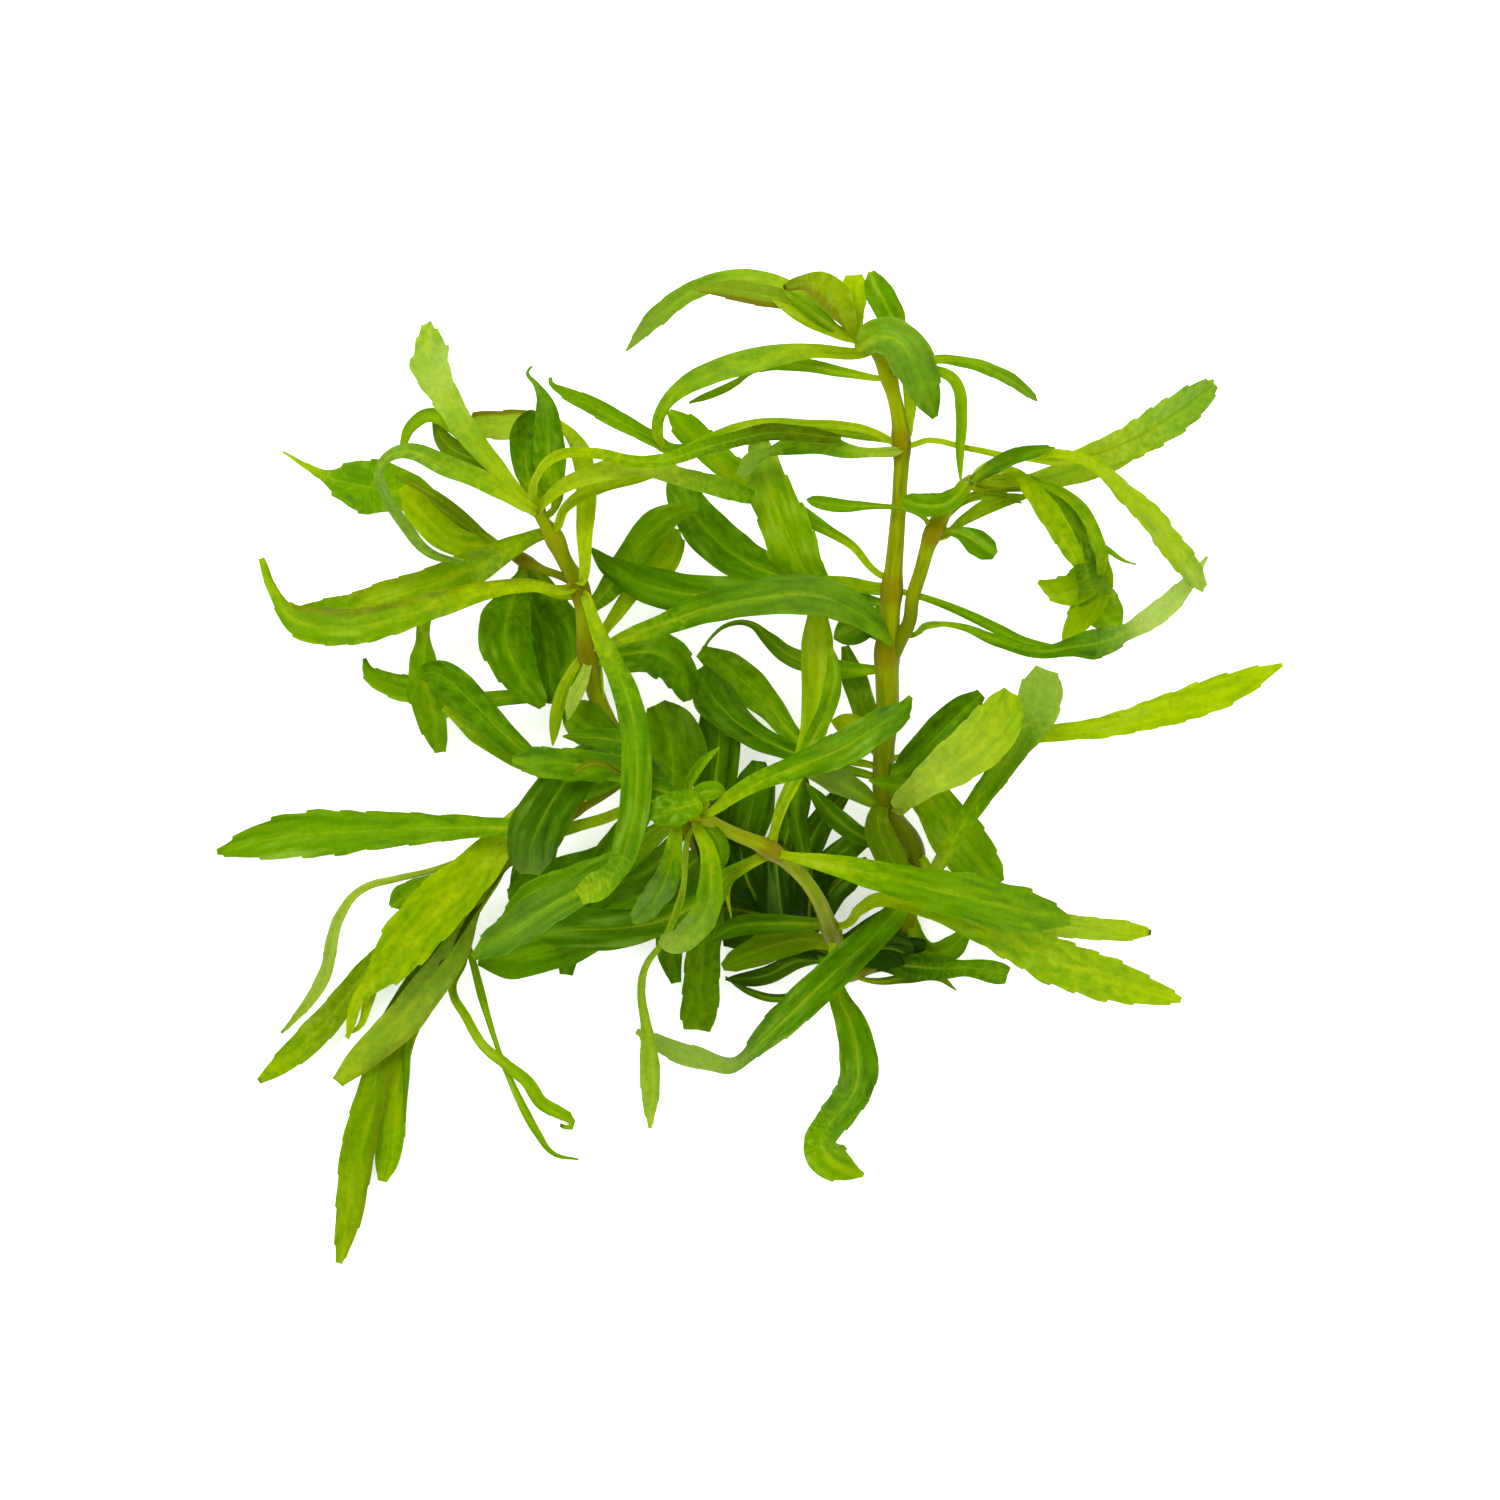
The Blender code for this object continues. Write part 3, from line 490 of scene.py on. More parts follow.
leafBlank = {
    "columns": (0.10, 0.40, 0.62, 0.82, 1.0),      # shares of the half width, on each side of the midrib
    "rise": (0.035, 0.085, 0.125, 0.150, 0.150),   # how high each stands over the midrib
    "rows": (24, 36, 50, 66, 86),
    "rowLength": 0.95,                             # mm
    "variants": 3,                                 # different runs of teeth
    "toothStart": 0.42,                            # share of the blade
    "toothSkip": (0, 1, 2, 3),                     # rows that the first tooth may wait
    "toothGaps": (4, 5, 5, 6, 7),                  # rows from one tooth to the next
    "toothPeak": (0.7, 1.2),
    "toothNotch": -0.4,                            # how far the margin steps in behind a tooth's point
    "toothBend": 1.6,
    "toothLean": 0.8,                              # rows that the point reaches forward
    "toothDepth": (0.0, 0.07, 0.11),               # share of the half width
    "rowSlack": 0.3,                               # rows by which a point may be off its row
    "margin": 0.46,                                # only points beyond this are pushed
    "edgeBend": 1.4,                               # how steeply the waves grow towards the margin
    "edgeFade": 1.1,
    "thin": 0.26,                                  # share of the body's thickness, at the blade
    "ribThick": (0.45, 0.3),                       # what the midrib adds, over this share of the half width
    "stalkThick": (0.5, 0.22),                     # what the stalk adds, over this share of the blade
    "marginThin": (0.1, 4),                        # what the margin loses, and how steeply
}
blanks = {}


def pickPoints(piece, wanted):    # in edit mode
    mesh = bmesh.from_edit_mesh(piece.data)
    for corner in mesh.verts:
        corner.select_set(wanted(corner.co))
    mesh.select_flush_mode()
    bmesh.update_edit_mesh(piece.data)


def scaleBy(along, sideways, upward):   # what is picked, about the leaf's root
    bpy.ops.transform.resize(value=(along, sideways, upward), center_override=(0, 0, 0))


def moveBy(along, sideways=0.0, upward=0.0):
    bpy.ops.transform.translate(value=(along, sideways, upward))


def cutTeeth(blank, rows, depth, side, draw):
    shape = leafBlank
    row = round(rows * shape["toothStart"]) + draw.choice(shape["toothSkip"])
    while row < rows - 1:
        gap = draw.choice(shape["toothGaps"])
        peak = draw.uniform(*shape["toothPeak"])
        for step in range(gap + 1):
            if row + step >= rows - 1:
                return
            rise = (step / gap) ** shape["toothBend"]
            push = shape["toothNotch"] + (peak - shape["toothNotch"]) * rise
            pickPoints(blank, lambda co: (abs(co.x * rows - row - step) < shape["rowSlack"]
                                          and co.y * side > shape["margin"]))
            scaleBy(1.0, 1.0 + push * depth, 1.0)
            if step == gap:
                moveBy(shape["toothLean"] / rows)
        row += gap + 1


def bodyShare(side, share):       # thickness at a share of the half width and a share of the blade
    ribThick, ribReach = leafBlank["ribThick"]
    stalkThick, stalkReach = leafBlank["stalkThick"]
    marginThin, marginBend = leafBlank["marginThin"]
    thick = leafBlank["thin"] + ribThick * max(1.0 - side / ribReach, 0.0)
    thick += stalkThick * max(1.0 - share / stalkReach, 0.0) - marginThin * side ** marginBend
    return min(thick, 1.0)


def rowOf(spot, rows):
    return math.floor(spot.x * rows + 0.1)


def blankFor(rows, teeth, variant):   # a strip 1 long and 1 wide, midrib along +X, kept for copies
    key = (rows, teeth, variant)
    if key in blanks:
        return blanks[key]
    bpy.ops.object.select_all(action="DESELECT")
    columns = 2 * len(leafBlank["columns"])
    bpy.ops.mesh.primitive_grid_add(x_subdivisions=rows, y_subdivisions=columns, size=1.0,
                                    enter_editmode=True)
    blank = bpy.context.object
    bpy.context.tool_settings.mesh_select_mode = (True, False, False)
    moveBy(0.5)
    for number, (share, rise) in enumerate(zip(leafBlank["columns"], leafBlank["rise"]), 1):
        for side in (-1, 1):
            old = side * number / columns
            pickPoints(blank, lambda co: abs(co.y - old) < 0.02 and co.z == 0.0)
            moveBy(0.0, side * share * 0.5 - old, rise * 0.5)
    depth = leafBlank["toothDepth"][teeth]
    if depth:
        draw = random.Random(rows * 10 + variant)
        for side in (-1, 1):
            cutTeeth(blank, rows, depth, side, draw)
    bpy.ops.object.mode_set(mode="OBJECT")
    blank.name = "blank_%d_%d_%d" % key
    edge = blank.vertex_groups.new(name="edge")
    body = blank.vertex_groups.new(name="body")
    for corner in blank.data.vertices:
        share = rowOf(corner.co, rows) / rows
        side = min(abs(corner.co.y) * 2.0, 1.0)
        fade = math.sin(math.pi * min(share * leafBlank["edgeFade"], 1.0)) ** 0.5
        edge.add([corner.index], side ** leafBlank["edgeBend"] * fade, "REPLACE")
        body.add([corner.index], bodyShare(side, share), "REPLACE")
    blanks[key] = blank
    return blank


leafShape = {
    "least": 0.22,               # mm, the narrowest that a blade may be
    "cornerStep": 0.02,          # share of the blade over which a cut's corners are rounded
    "rootGap": 0.6,              # mm from the stem's middle beyond which a root is added
    "farGap": 7.0,               # mm beyond which the root is named in the log
    "steps": 24,                 # of the guide, from knot to knot
    "waves": (("Y", 0.16, 0.0), ("Z", 0.0, 2.2)),   # axis, strength by width, strength in mm by ripple
    "waveSize": 0.0085,          # metres
    "waveStep": (0.0, 0.031, 0.017),                # from leaf to leaf, in metres
    "patternStep": 37.0,         # mm, from leaf to leaf
    "thickness": 0.95,           # mm
    "smooth": 65,                # degrees
}
waveCloud = bpy.data.textures.new("bladeRipple", "CLOUDS")
waveCloud.noise_scale = leafShape["waveSize"]
waveCloud.noise_depth = 1
waveSource = addToScene("rippleSource", None)
leafCount = 0


def cutWidth(cut, share):         # between the (share, mm) rows of a cut, with its corners rounded
    total = 0.0
    for step in (-leafShape["cornerStep"], 0.0, leafShape["cornerStep"]):
        spot = min(max(share + step, 0.0), 1.0)
        for (low, first), (high, second) in zip(cut, cut[1:]):
            if spot <= high:
                total += first + (second - first) * (spot - low) / (high - low)
                break
    return max(total / 3.0, leafShape["least"])


def plainWidth(share, width, stalk, belly, base, tip):    # widest at the belly, narrowing by base and tip
    swell = max(math.sin(math.pi * share ** (math.log(0.5) / math.log(belly))), 0.0)
    swell **= base if share < belly else tip
    petiole = stalk * (1.0 - share)
    return max((petiole + (1.0 - petiole) * swell) * width, leafShape["least"])


def spread(ends, share):          # a number, or several spaced evenly along the blade
    if isinstance(ends, (int, float)):
        return ends
    reach = share * (len(ends) - 1)
    low = min(int(reach), len(ends) - 2)
    return ends[low] + (ends[low + 1] - ends[low]) * (reach - low)


def leafGuide(name, points, tilts, folded):
    guide = smoothGuide(name + "_guide", points)
    guide.data.twist_mode = "MINIMUM" if folded else "Z_UP"
    guide.data.use_stretch = True
    guide.data.use_deform_bounds = True
    guide.data.resolution_u = leafShape["steps"]
    for knot, tilt in zip(guide.data.splines[0].bezier_points, tilts):
        knot.tilt = math.radians(tilt)
    return guide


def bendLeaf(piece, guide, width, ripple):
    waveSource.location = [step * leafCount for step in leafShape["waveStep"]]
    bpy.context.view_layer.update()
    for axis, byWidth, byRipple in leafShape["waves"]:
        waves = piece.modifiers.new("waves" + axis, "DISPLACE")
        waves.texture = waveCloud
        waves.texture_coords = "OBJECT"
        waves.texture_coords_object = waveSource
        waves.direction = axis
        waves.vertex_group = "edge"
        waves.strength = (byWidth * width + byRipple * ripple) * mm
    curl = piece.modifiers.new("curl", "CURVE")
    curl.object = guide
    curl.deform_axis = "POS_X"
    body = piece.modifiers.new("body", "SOLIDIFY")
    body.thickness = leafShape["thickness"] * mm
    body.vertex_group = "body"
    body.offset = -1.0
    body.material_offset = 1
    applyAll(piece, leafShape["smooth"])
    piece.vertex_groups.clear()
    bpy.data.objects.remove(guide)


# A leaf's route is x, y and z in mm as seen, from its stem to its tip. Its cut is a share of the blade and
# the whole width there in mm. Several values of tone, olive, wash or lean are spaced evenly along it.
# A low tone is also painted shade, down to the near black of blades that stand for the dark hollows.
def growLeaf(name, route, tone, width=3.0, cut=None, slot="leaf_fresh", lean=(0.0, 0.0), stalk=0.3,
             belly=0.58, keel=1.0, folded=False, teeth=0, ripple=1.0, base=1.0, tip=0.75, olive=0.0,
             wash=0.0, rust=0.0, brown=0.0):
    global leafCount
    leafCount += 1
    points = [seenPoint(*spot) for spot in readRows(route)]
    root = min(stemLines, key=lambda point: (point - points[0]).length_squared)
    extra = (points[0] - root).length
    if extra > leafShape["farGap"] * mm:
        print("  far from its stem:", name, round(extra / mm, 1), "mm")
    tilts = [spread(lean, number / (len(points) - 1)) for number in range(len(points))]
    if extra > leafShape["rootGap"] * mm:
        points.insert(0, root)
        tilts.insert(0, lean[0])
    else:
        extra = 0.0
    guide = leafGuide(name, points, tilts, folded)
    if cut:
        cut = readRows(cut)
        width = max(wide for share, wide in cut)

    def widthAt(spot):            # spot is along the blade, counted from the stem's middle
        share = min(max((spot - extra) / (length - extra), 0.0), 1.0)
        return share, cutWidth(cut, share) if cut else plainWidth(share, width, stalk, belly, base, tip)

    length = sum((after - before).length for before, after in zip(points, points[1:]))
    wanted = length / mm / leafBlank["rowLength"]
    rows = next((count for count in leafBlank["rows"] if count >= wanted), leafBlank["rows"][-1])
    blank = blankFor(rows, teeth, leafCount % leafBlank["variants"] if teeth else 0)
    piece = blank.copy()
    piece.data = blank.data.copy()
    piece.name = name
    bpy.context.scene.collection.objects.link(piece)
    selectOnly(piece)
    bpy.ops.object.mode_set(mode="EDIT")
    for row in range(rows + 1):
        wide = widthAt(row / rows * length)[1] / width
        pickPoints(piece, lambda co: rowOf(co, rows) == row)
        scaleBy(1.0, wide, wide)
    bpy.ops.mesh.select_all(action="SELECT")
    scaleBy(length, width * mm, width * mm * keel)
    bpy.ops.object.mode_set(mode="OBJECT")

    place, look, rest = addPointVectors(piece, "bladePlace", "bladeTone", "bladeWash")
    for corner in piece.data.vertices:
        share, wide = widthAt(corner.co.x)
        half = wide * mm / 2.0
        along = corner.co.x / mm + leafShape["patternStep"] * leafCount
        place[corner.index].vector = (along, corner.co.y / mm, share)
        look[corner.index].vector = (spread(tone, share), spread(olive, share), brown)
        rim = corner.co.y / half * (-1 if rust < 0 else 1)
        rest[corner.index].vector = (spread(wash, share), abs(rust), rim)
    for skin in skins[slot]:
        piece.data.materials.append(skin)
    bendLeaf(piece, guide, width, ripple)
    return piece


def growWhorl(title, leaves):      # leaves that each stand for one solid
    for node, plan in leaves.items():
        piece = growLeaf(node + "_blade", **plan)
        finishPiece(piece, (node,))
    print(title, "leaves grown:", len(leaves))


def growSmall(name, slot, leaves):   # small inner leaves, joined to one piece
    parts = [growLeaf("%s_%02d" % (name, number), slot=slot, **plan)
             for number, plan in enumerate(leaves.values(), 1)]
    selectOnly(parts[0])
    for part in parts:
        part.select_set(True)
    bpy.ops.object.join()
    parts[0].name = name
    finishPiece(parts[0])
    print(name, "grown:", len(leaves))


# Leaves of the left crown

leftCrown = {
    "leaf_left_tall": dict(
        tone=(0.75, 0.7, 0.8, 0.7), teeth=2, lean=(10, -20), wash=(0, 0.1, 0.45, 0), ripple=1.5,
        cut="0 1.2, 0.22 3, 0.45 4.3, 0.64 5.4, 0.77 7, 0.86 5.2, 0.93 3.4, 1 1.6",
        route="-34.6 41.6 33, -38.6 45.6 35, -43.6 51.6 34.6, -48.2 58.4 30, -50.8 64 23, -51.8 71 14"),
    "leaf_left_loop": dict(
        tone=(0.7, 0.5, 0.3, 0.5), wash=(0, 0.1, 0.3, 0.2), keel=1.6, lean=(0, 40),
        cut="0 1.4, 0.15 3, 0.3 3.4, 0.42 2.6, 0.52 1.6, 0.65 1.7, 0.8 2.2, 0.93 1.6, 1 0.4",
        route="-34.6 41.2 36, -42.2 45.7 40, -48 48 41, -55.5 50.6 39, -59.2 48 36, -58.2 43.6 32, "
              "-55.4 39.2 28, -51.2 34.4 25, -45.8 32.8 23"),
    "leaf_left_low_broad": dict(
        tone=(0.4, 0.36, 0.4, 0.62, 0.62, 0.42, 0.45, 0.75, 0.75), slot="leaf_olive",
        olive=(0.8, 0.9, 0.7, 0.1, 0, 0, 0, 0, 0), teeth=1, lean=(8, 0), ripple=1.8,
        cut="0 1.2, 0.2 1.9, 0.35 3.2, 0.48 6.6, 0.6 8.6, 0.68 7.4, 0.75 4.2, 0.79 1.9, 0.88 1, 1 0.3",
        route="-39.6 35 20.4, -43 37 15.8, -47.6 40.2 13.4, -53 43.4 12, -58 44.4 10.5, -63 45.2 8, "
              "-68 46.6 5, -74.8 50.5 0.9"),
    "leaf_left_upright": dict(
        tone=(0.5, 0.36, 0.5), slot="leaf_deep", lean=(-10, 15), keel=1.5,
        cut="0 1, 0.15 4, 0.28 5.2, 0.45 4.2, 0.6 3.2, 0.7 1.8, 0.78 1, 0.9 0.6, 1 0.25",
        route="-31.3 41.6 31, -32 47 33, -32.3 54 32, -32.8 58.4 29, -34 61 26.4, -35.6 63.2 23.4, "
              "-34.8 64.2 22"),
    "leaf_left_long_strap": dict(
        tone=(0.85, 0.8, 0.6, 0.2, 0.1), olive=(0, 0, 0, 0.3, 0.4), slot="leaf_deep", lean=(20, -15),
        teeth=1, cut="0 0.9, 0.2 1.5, 0.5 2, 0.8 2.7, 0.95 2.2, 1 1",
        route="-34.6 42.4 35.6, -34.2 46.4 39, -31 49.8 41.5, -26 50.4 42.5, -16 49 42.5, -5 51.8 41, "
              "4 53.6 39.6, 14.6 52.6 37"),
    "leaf_left_cross": dict(
        tone=(0.9, 0.95, 0.9, 0.6, 0.4), wash=(0, 0.2, 0), teeth=1, lean=(0, -15),
        cut="0 1.4, 0.2 2.6, 0.4 3.4, 0.6 3, 0.85 3.2, 0.96 2.8, 1 2",
        route="-33.4 42 34.4, -30 45 36.4, -24.6 47 38, -18.4 48.2 38, -9 46 36.5, 0.6 43.2 33"),
    "leaf_left_wavy": dict(
        tone=(0.6, 0.75, 0.68, 0.62, 0.62, 0.7), teeth=1, ripple=2.6, rust=-0.5, lean=(-10, 10),
        cut="0 1.2, 0.15 2.4, 0.35 4.2, 0.55 5.4, 0.7 6.2, 0.78 5, 0.84 2.4, 0.9 1.6, 0.97 1.4, 1 0.9",
        route="-29.2 28.4 27.5, -36 29.2 30, -45 27.6 28.5, -55 24.4 22, -65 22.4 14, -72.6 23.8 8, "
              "-76.2 28 4, -78.2 33.4 0.9"),
    "leaf_left_under_wavy": dict(
        tone=(0.42, 0.72, 0.75, 0.6), slot="leaf_deep", teeth=1, ripple=2.8, rust=-0.25, lean=(0, -10),
        cut="0 1.4, 0.15 3.8, 0.35 6, 0.55 5.4, 0.75 4.4, 0.92 3.2, 1 1.2",
        route="-33.4 37.4 28, -38 35.4 26.6, -43 32.6 21, -48.4 30.2 17, -56 27.8 14.4, -65 25.4 10, "
              "-73 24.8 5.8"),
    "leaf_left_drooping": dict(
        tone=(0.5, 0.5, 0.6, 0.5), teeth=2, lean=(0, 5), ripple=1.4,
        cut="0 0.8, 0.4 1.4, 0.5 1.7, 0.6 2.4, 0.68 4.8, 0.77 6, 0.86 5, 0.94 3.6, 1 1.6",
        route="-29.2 27.4 22.8, -35 28.5 23.4, -42 28.1 21.6, -48.2 27 19.4, -51.6 24.2 17.4, "
              "-52.2 19 15.5, -51.8 13 13, -50.7 7 10, -49.5 2.4 7"),
    "leaf_left_curled_tip": dict(
        tone=0.52, teeth=1, lean=(0, 20), brown=0.6,
        cut="0 0.9, 0.3 2.2, 0.6 3.2, 0.78 4.4, 0.9 3.2, 1 0.4",
        route="-26 9.6 16, -31 10.8 13.6, -38 11.2 11.8, -45 10.8 9.8, -52 12 8, -57.5 13.2 7.4, "
              "-60.8 15 7, -61.7 17.4 6"),
    "leaf_left_dark_paddle": dict(
        tone=(0.45, 0.42, 0.3), slot="leaf_deep", keel=1.5,
        cut="0 1, 0.35 2.6, 0.6 4.4, 0.8 5.8, 0.92 5, 1 2",
        route="-22.2 2.4 17.8, -25.4 1.8 21, -29.6 0.6 23.8, -33.4 0.4 25, -36.6 3 25, -40 6 24, "
              "-45 11 21, -50 14.9 19, -52.6 15.2 18"),
    "leaf_left_front_strap": dict(
        tone=(0.65, 0.6, 0.42, 0.4, 0.4, 0.75), lean=(0, 10), keel=1.3,
        cut="0 1.5, 0.15 2.6, 0.3 3.6, 0.45 4.4, 0.62 4.8, 0.76 4.2, 0.87 3.2, 0.94 5, 1 2.4",
        route="-26.2 27 29.5, -23.6 20 37, -20.6 14 43, -18.7 8 47.5, -18.1 2 51, -18.3 -5 52.5, "
              "-19.4 -11 51, -21.6 -16.6 47, -27.2 -20.6 41.5"),
}
leftCrownYoung = {
    "inner": dict(
        tone=0.85, cut="0 1.2, 0.3 2.8, 0.7 3.2, 1 1.2",
        route="-26.7 30 28.5, -26.5 37 28, -26 43.4 25, -26.6 49 22, -28.2 52.6 18, -30.8 55.2 15"),
    "loopInner": dict(
        tone=0.8, ripple=1.5, cut="0 1, 0.25 3.4, 0.6 5, 0.85 4.4, 1 2",
        route="-37.6 33.8 21.6, -42 35.4 18, -47 36 15.6, -51.4 39.4 14.6, -55.4 45 13"),
    "backHook": dict(
        width=2.3, tone=0.62, tip=0.5,
        route="-36 43 29, -42 49 27, -47.5 54.6 25, -51 56.4 23, -53.8 55 21, -55.2 52.6 19, -55.6 49.6 18"),
    "yellowTip": dict(
        tone=0.9, teeth=1, wash=0.25, rust=-1.0, brown=0.6, cut="0 1.2, 0.3 3.6, 0.6 4.8, 0.9 4.2, 1 1.6",
        route="-33.5 43 28.5, -32.8 49 26, -34 54 22, -40 54.8 19, -46 54.6 17"),
    "crossing": dict(
        width=2.4, tone=0.8,
        route="-31.4 38 30, -29.4 41.5 32, -24 45 33, -17 46.8 32.5, -12 48 32"),
    "budLeaf": dict(width=1.2, tone=0.9, route="-25.2 18.3 21.6, -24.5 17 21, -24 13 20, -23.4 11 19.5"),
    "lightBack": dict(
        tone=0.72, teeth=1, cut="0 0.9, 0.5 3, 0.75 5, 0.9 3.6, 1 1",
        route="-25 19.5 20.5, -21 25 16, -17 30 13, -14 32.5 12, -12.5 35 11.5, -11.8 38.2 11"),
    "stalkLeft": dict(
        width=2.2, tone=0.68, stalk=0.6,
        route="-26.6 18 21.8, -29.2 14 21, -30.8 9 20, -31.6 3.4 19"),
}
leftCrownShaded = {
    "sideRibbon": dict(
        width=1.7, tone=0.4, olive=0.7,
        route="-36.8 33.6 22.6, -41 36 21.6, -47 41 20.5, -52 44.4 19, -57 46.6 17"),
    "tallShade": dict(
        width=3.6, tone=0.3, olive=0.4,
        route="-35.4 42.4 28, -43 48.6 25, -48.4 51.6 22, -50.8 56 20"),
    "behindUpright": dict(
        tone=(0.42, 0.34, 0.26), keel=1.6, cut="0 1.2, 0.3 3.8, 0.7 4.8, 0.93 4.6, 1 3",
        route="-34.4 42.2 30, -35.4 46 30.6, -36 50.4 30, -35.4 54 28, -33.4 55.8 26"),
    "lowBehind": dict(
        tone=0.62, cut="0 1, 0.4 3, 0.8 4.4, 1 1",
        route="-19.5 0.5 14.5, -27 -0.5 17, -36 1 19, -41 4.4 18.5, -45.5 7.4 17.5, -49 9.6 17"),
    "spreadLeft": dict(
        tone=0.45, cut="0 1.2, 0.3 5.6, 0.7 7.4, 0.9 5, 1 2",
        route="-19.6 1.4 15.4, -22 3.6 18, -25.5 6.6 19, -29.4 9.6 18"),
    "spreadLow": dict(
        tone=0.36, cut="0 1.2, 0.4 4.2, 0.75 4.8, 1 1",
        route="-19 -0.6 14.6, -22 -1.6 17, -25.5 -2.6 19, -29.6 -3.8 19"),
    "paddleOne": dict(
        tone=(0.2, 0.42, 0.46, 0.42), teeth=1, cut="0 1.4, 0.14 5, 0.3 7.8, 0.5 8, 0.75 6, 0.92 3.4, 1 1",
        route="-36.5 31 20.5, -38 26.5 20, -39.2 21.5 19, -37.4 16 18, -33.2 9.6 17"),
    "paddleTwo": dict(
        tone=(0.1, 0.26, 0.3, 0.26), cut="0 1.4, 0.16 5, 0.35 7, 0.6 7, 0.85 4, 1 1",
        route="-36.2 32 19, -35 27.4 16.4, -33.4 22.6 15, -32.4 17.6 14, -31.8 10.4 13.4"),
    "darkReversed": dict(
        tone=(0.3, 0.5, 0.55), cut="0 1, 0.4 4.6, 0.75 5.4, 1 1.2",
        route="-26.6 24 23, -22.6 28.6 17, -19 33.5 15, -16 37.6 16, -12.6 40.4 17, -8.4 41.6 18"),
    "strapTwin": dict(
        tone=(0.3, 0.34, 0.4, 0.45), teeth=2, cut="0 1.4, 0.2 6, 0.5 7.6, 0.8 5.6, 0.94 3.2, 1 1",
        route="-25.6 17.6 21.6, -20.6 18 22, -15.6 18.4 20.6, -11.6 16 18, -10 10.6 15"),
    "paddleThree": dict(
        tone=(0.3, 0.42, 0.45), teeth=1, cut="0 1.2, 0.3 4.6, 0.6 5.4, 0.9 3.6, 1 1",
        route="-34.8 32.2 20, -31.8 26.6 16.6, -29.2 22 15.6, -28.4 17.4 15, -29.6 12.6 14.6"),
    "stripe": dict(
        width=2.2, tone=(0.75, 0.8), wash=0.5, stalk=0.6,
        route="-25.6 17.6 22, -26.8 14 24, -28.4 10.6 24.4, -29.2 7.6 24"),
}
growWhorl("left crown", leftCrown)
growSmall("left_crown_young_leaves", "leaf_young", leftCrownYoung)
growSmall("left_crown_shaded_leaves", "leaf_deep", leftCrownShaded)


# Leaves of the middle whorl

middleWhorl = {
    "leaf_middle_glossy": dict(
        tone=(0.55, 0.36, 0.4, 0.36), wash=(0, 0, 0.12, 0), lean=(0, 10), ripple=0.6,
        cut="0 1.2, 0.15 2.4, 0.4 4.8, 0.65 6.2, 0.82 5.4, 0.93 3.2, 1 0.6",
        route="-24.2 19.2 24.2, -20 20.8 28.6, -14 23 32.5, -6 25.8 35, 2 27.3 35.5, 10 27.6 34.5, "
              "16 25.6 32.5, 20 22.7 31, 22.7 19.6 30"),
    "leaf_middle_under": dict(
        width=6.4, tone=(0.5, 0.4, 0.36, 0.34), slot="leaf_deep", lean=(5, -10),
        route="20.6 28.6 26.6, 14 29.2 27.5, 6 28.2 27.5, -4 27.4 25.5, -14 28.6 22.5, -22 31.8 19, "
              "-25.6 35.2 16.5"),
    "leaf_middle_cross_back": dict(
        tone=(0.55, 0.55, 0.6, 0.62), teeth=2, lean=(-10, 10),
        cut="0 0.9, 0.25 1.6, 0.5 4, 0.72 4.6, 0.88 4.8, 0.96 3, 1 0.6",
        route="20.8 30.8 27.8, 16 35.8 25.8, 10 39 23.6, 4 43 21.6, -2 46.8 19.6, -7 51.3 17.5, -13 57 14"),
    "leaf_middle_dark_broad": dict(
        tone=(0.36, 0.4, 0.34, 0.42), slot="leaf_deep", lean=(0, 12),
        cut="0 1, 0.2 3, 0.45 6.6, 0.7 7.4, 0.88 5.4, 1 1",
        route="20.4 26.6 24.6, 16.4 27.8 23.4, 12 29 22.4, 5 30.6 21, -1 33 18.5, -6 37 15.8, -10 42 13, "
              "-12.6 48.5 10"),
    "leaf_middle_standing": dict(
        tone=(0.45, 0.62, 0.66, 0.62), slot="leaf_deep", teeth=2, lean=(0, -10), wash=(0, 0, 0, 0, 0.25),
        cut="0 1, 0.2 3.4, 0.4 7, 0.55 8, 0.74 7, 0.88 5.2, 0.96 3.8, 1 2.4",
        route="20 21.4 23.6, 16.6 23.4 23.4, 13.2 26 23.6, 9.6 30 24.4, 6.9 35.5 26.6, 4.6 41 28, "
              "2.6 46.6 28, 1.2 53 26.4"),
    "leaf_middle_arching": dict(
        tone=(0.75, 0.7, 0.6, 0.66), lean=(5, -10), wash=(0, 0.15, 0),
        cut="0 1.4, 0.2 2.2, 0.45 4, 0.65 3.4, 0.8 2, 0.92 1.8, 1 0.6",
        route="18.8 66.6 30.8, 10 66.6 32, 0 65 32, -6 63.2 31, -11 60.6 30, -14 57.2 28.6, "
              "-14.8 53.6 27.4, -13.4 50.4 26"),
}
growWhorl("middle", middleWhorl)


# Leaves of the right crown

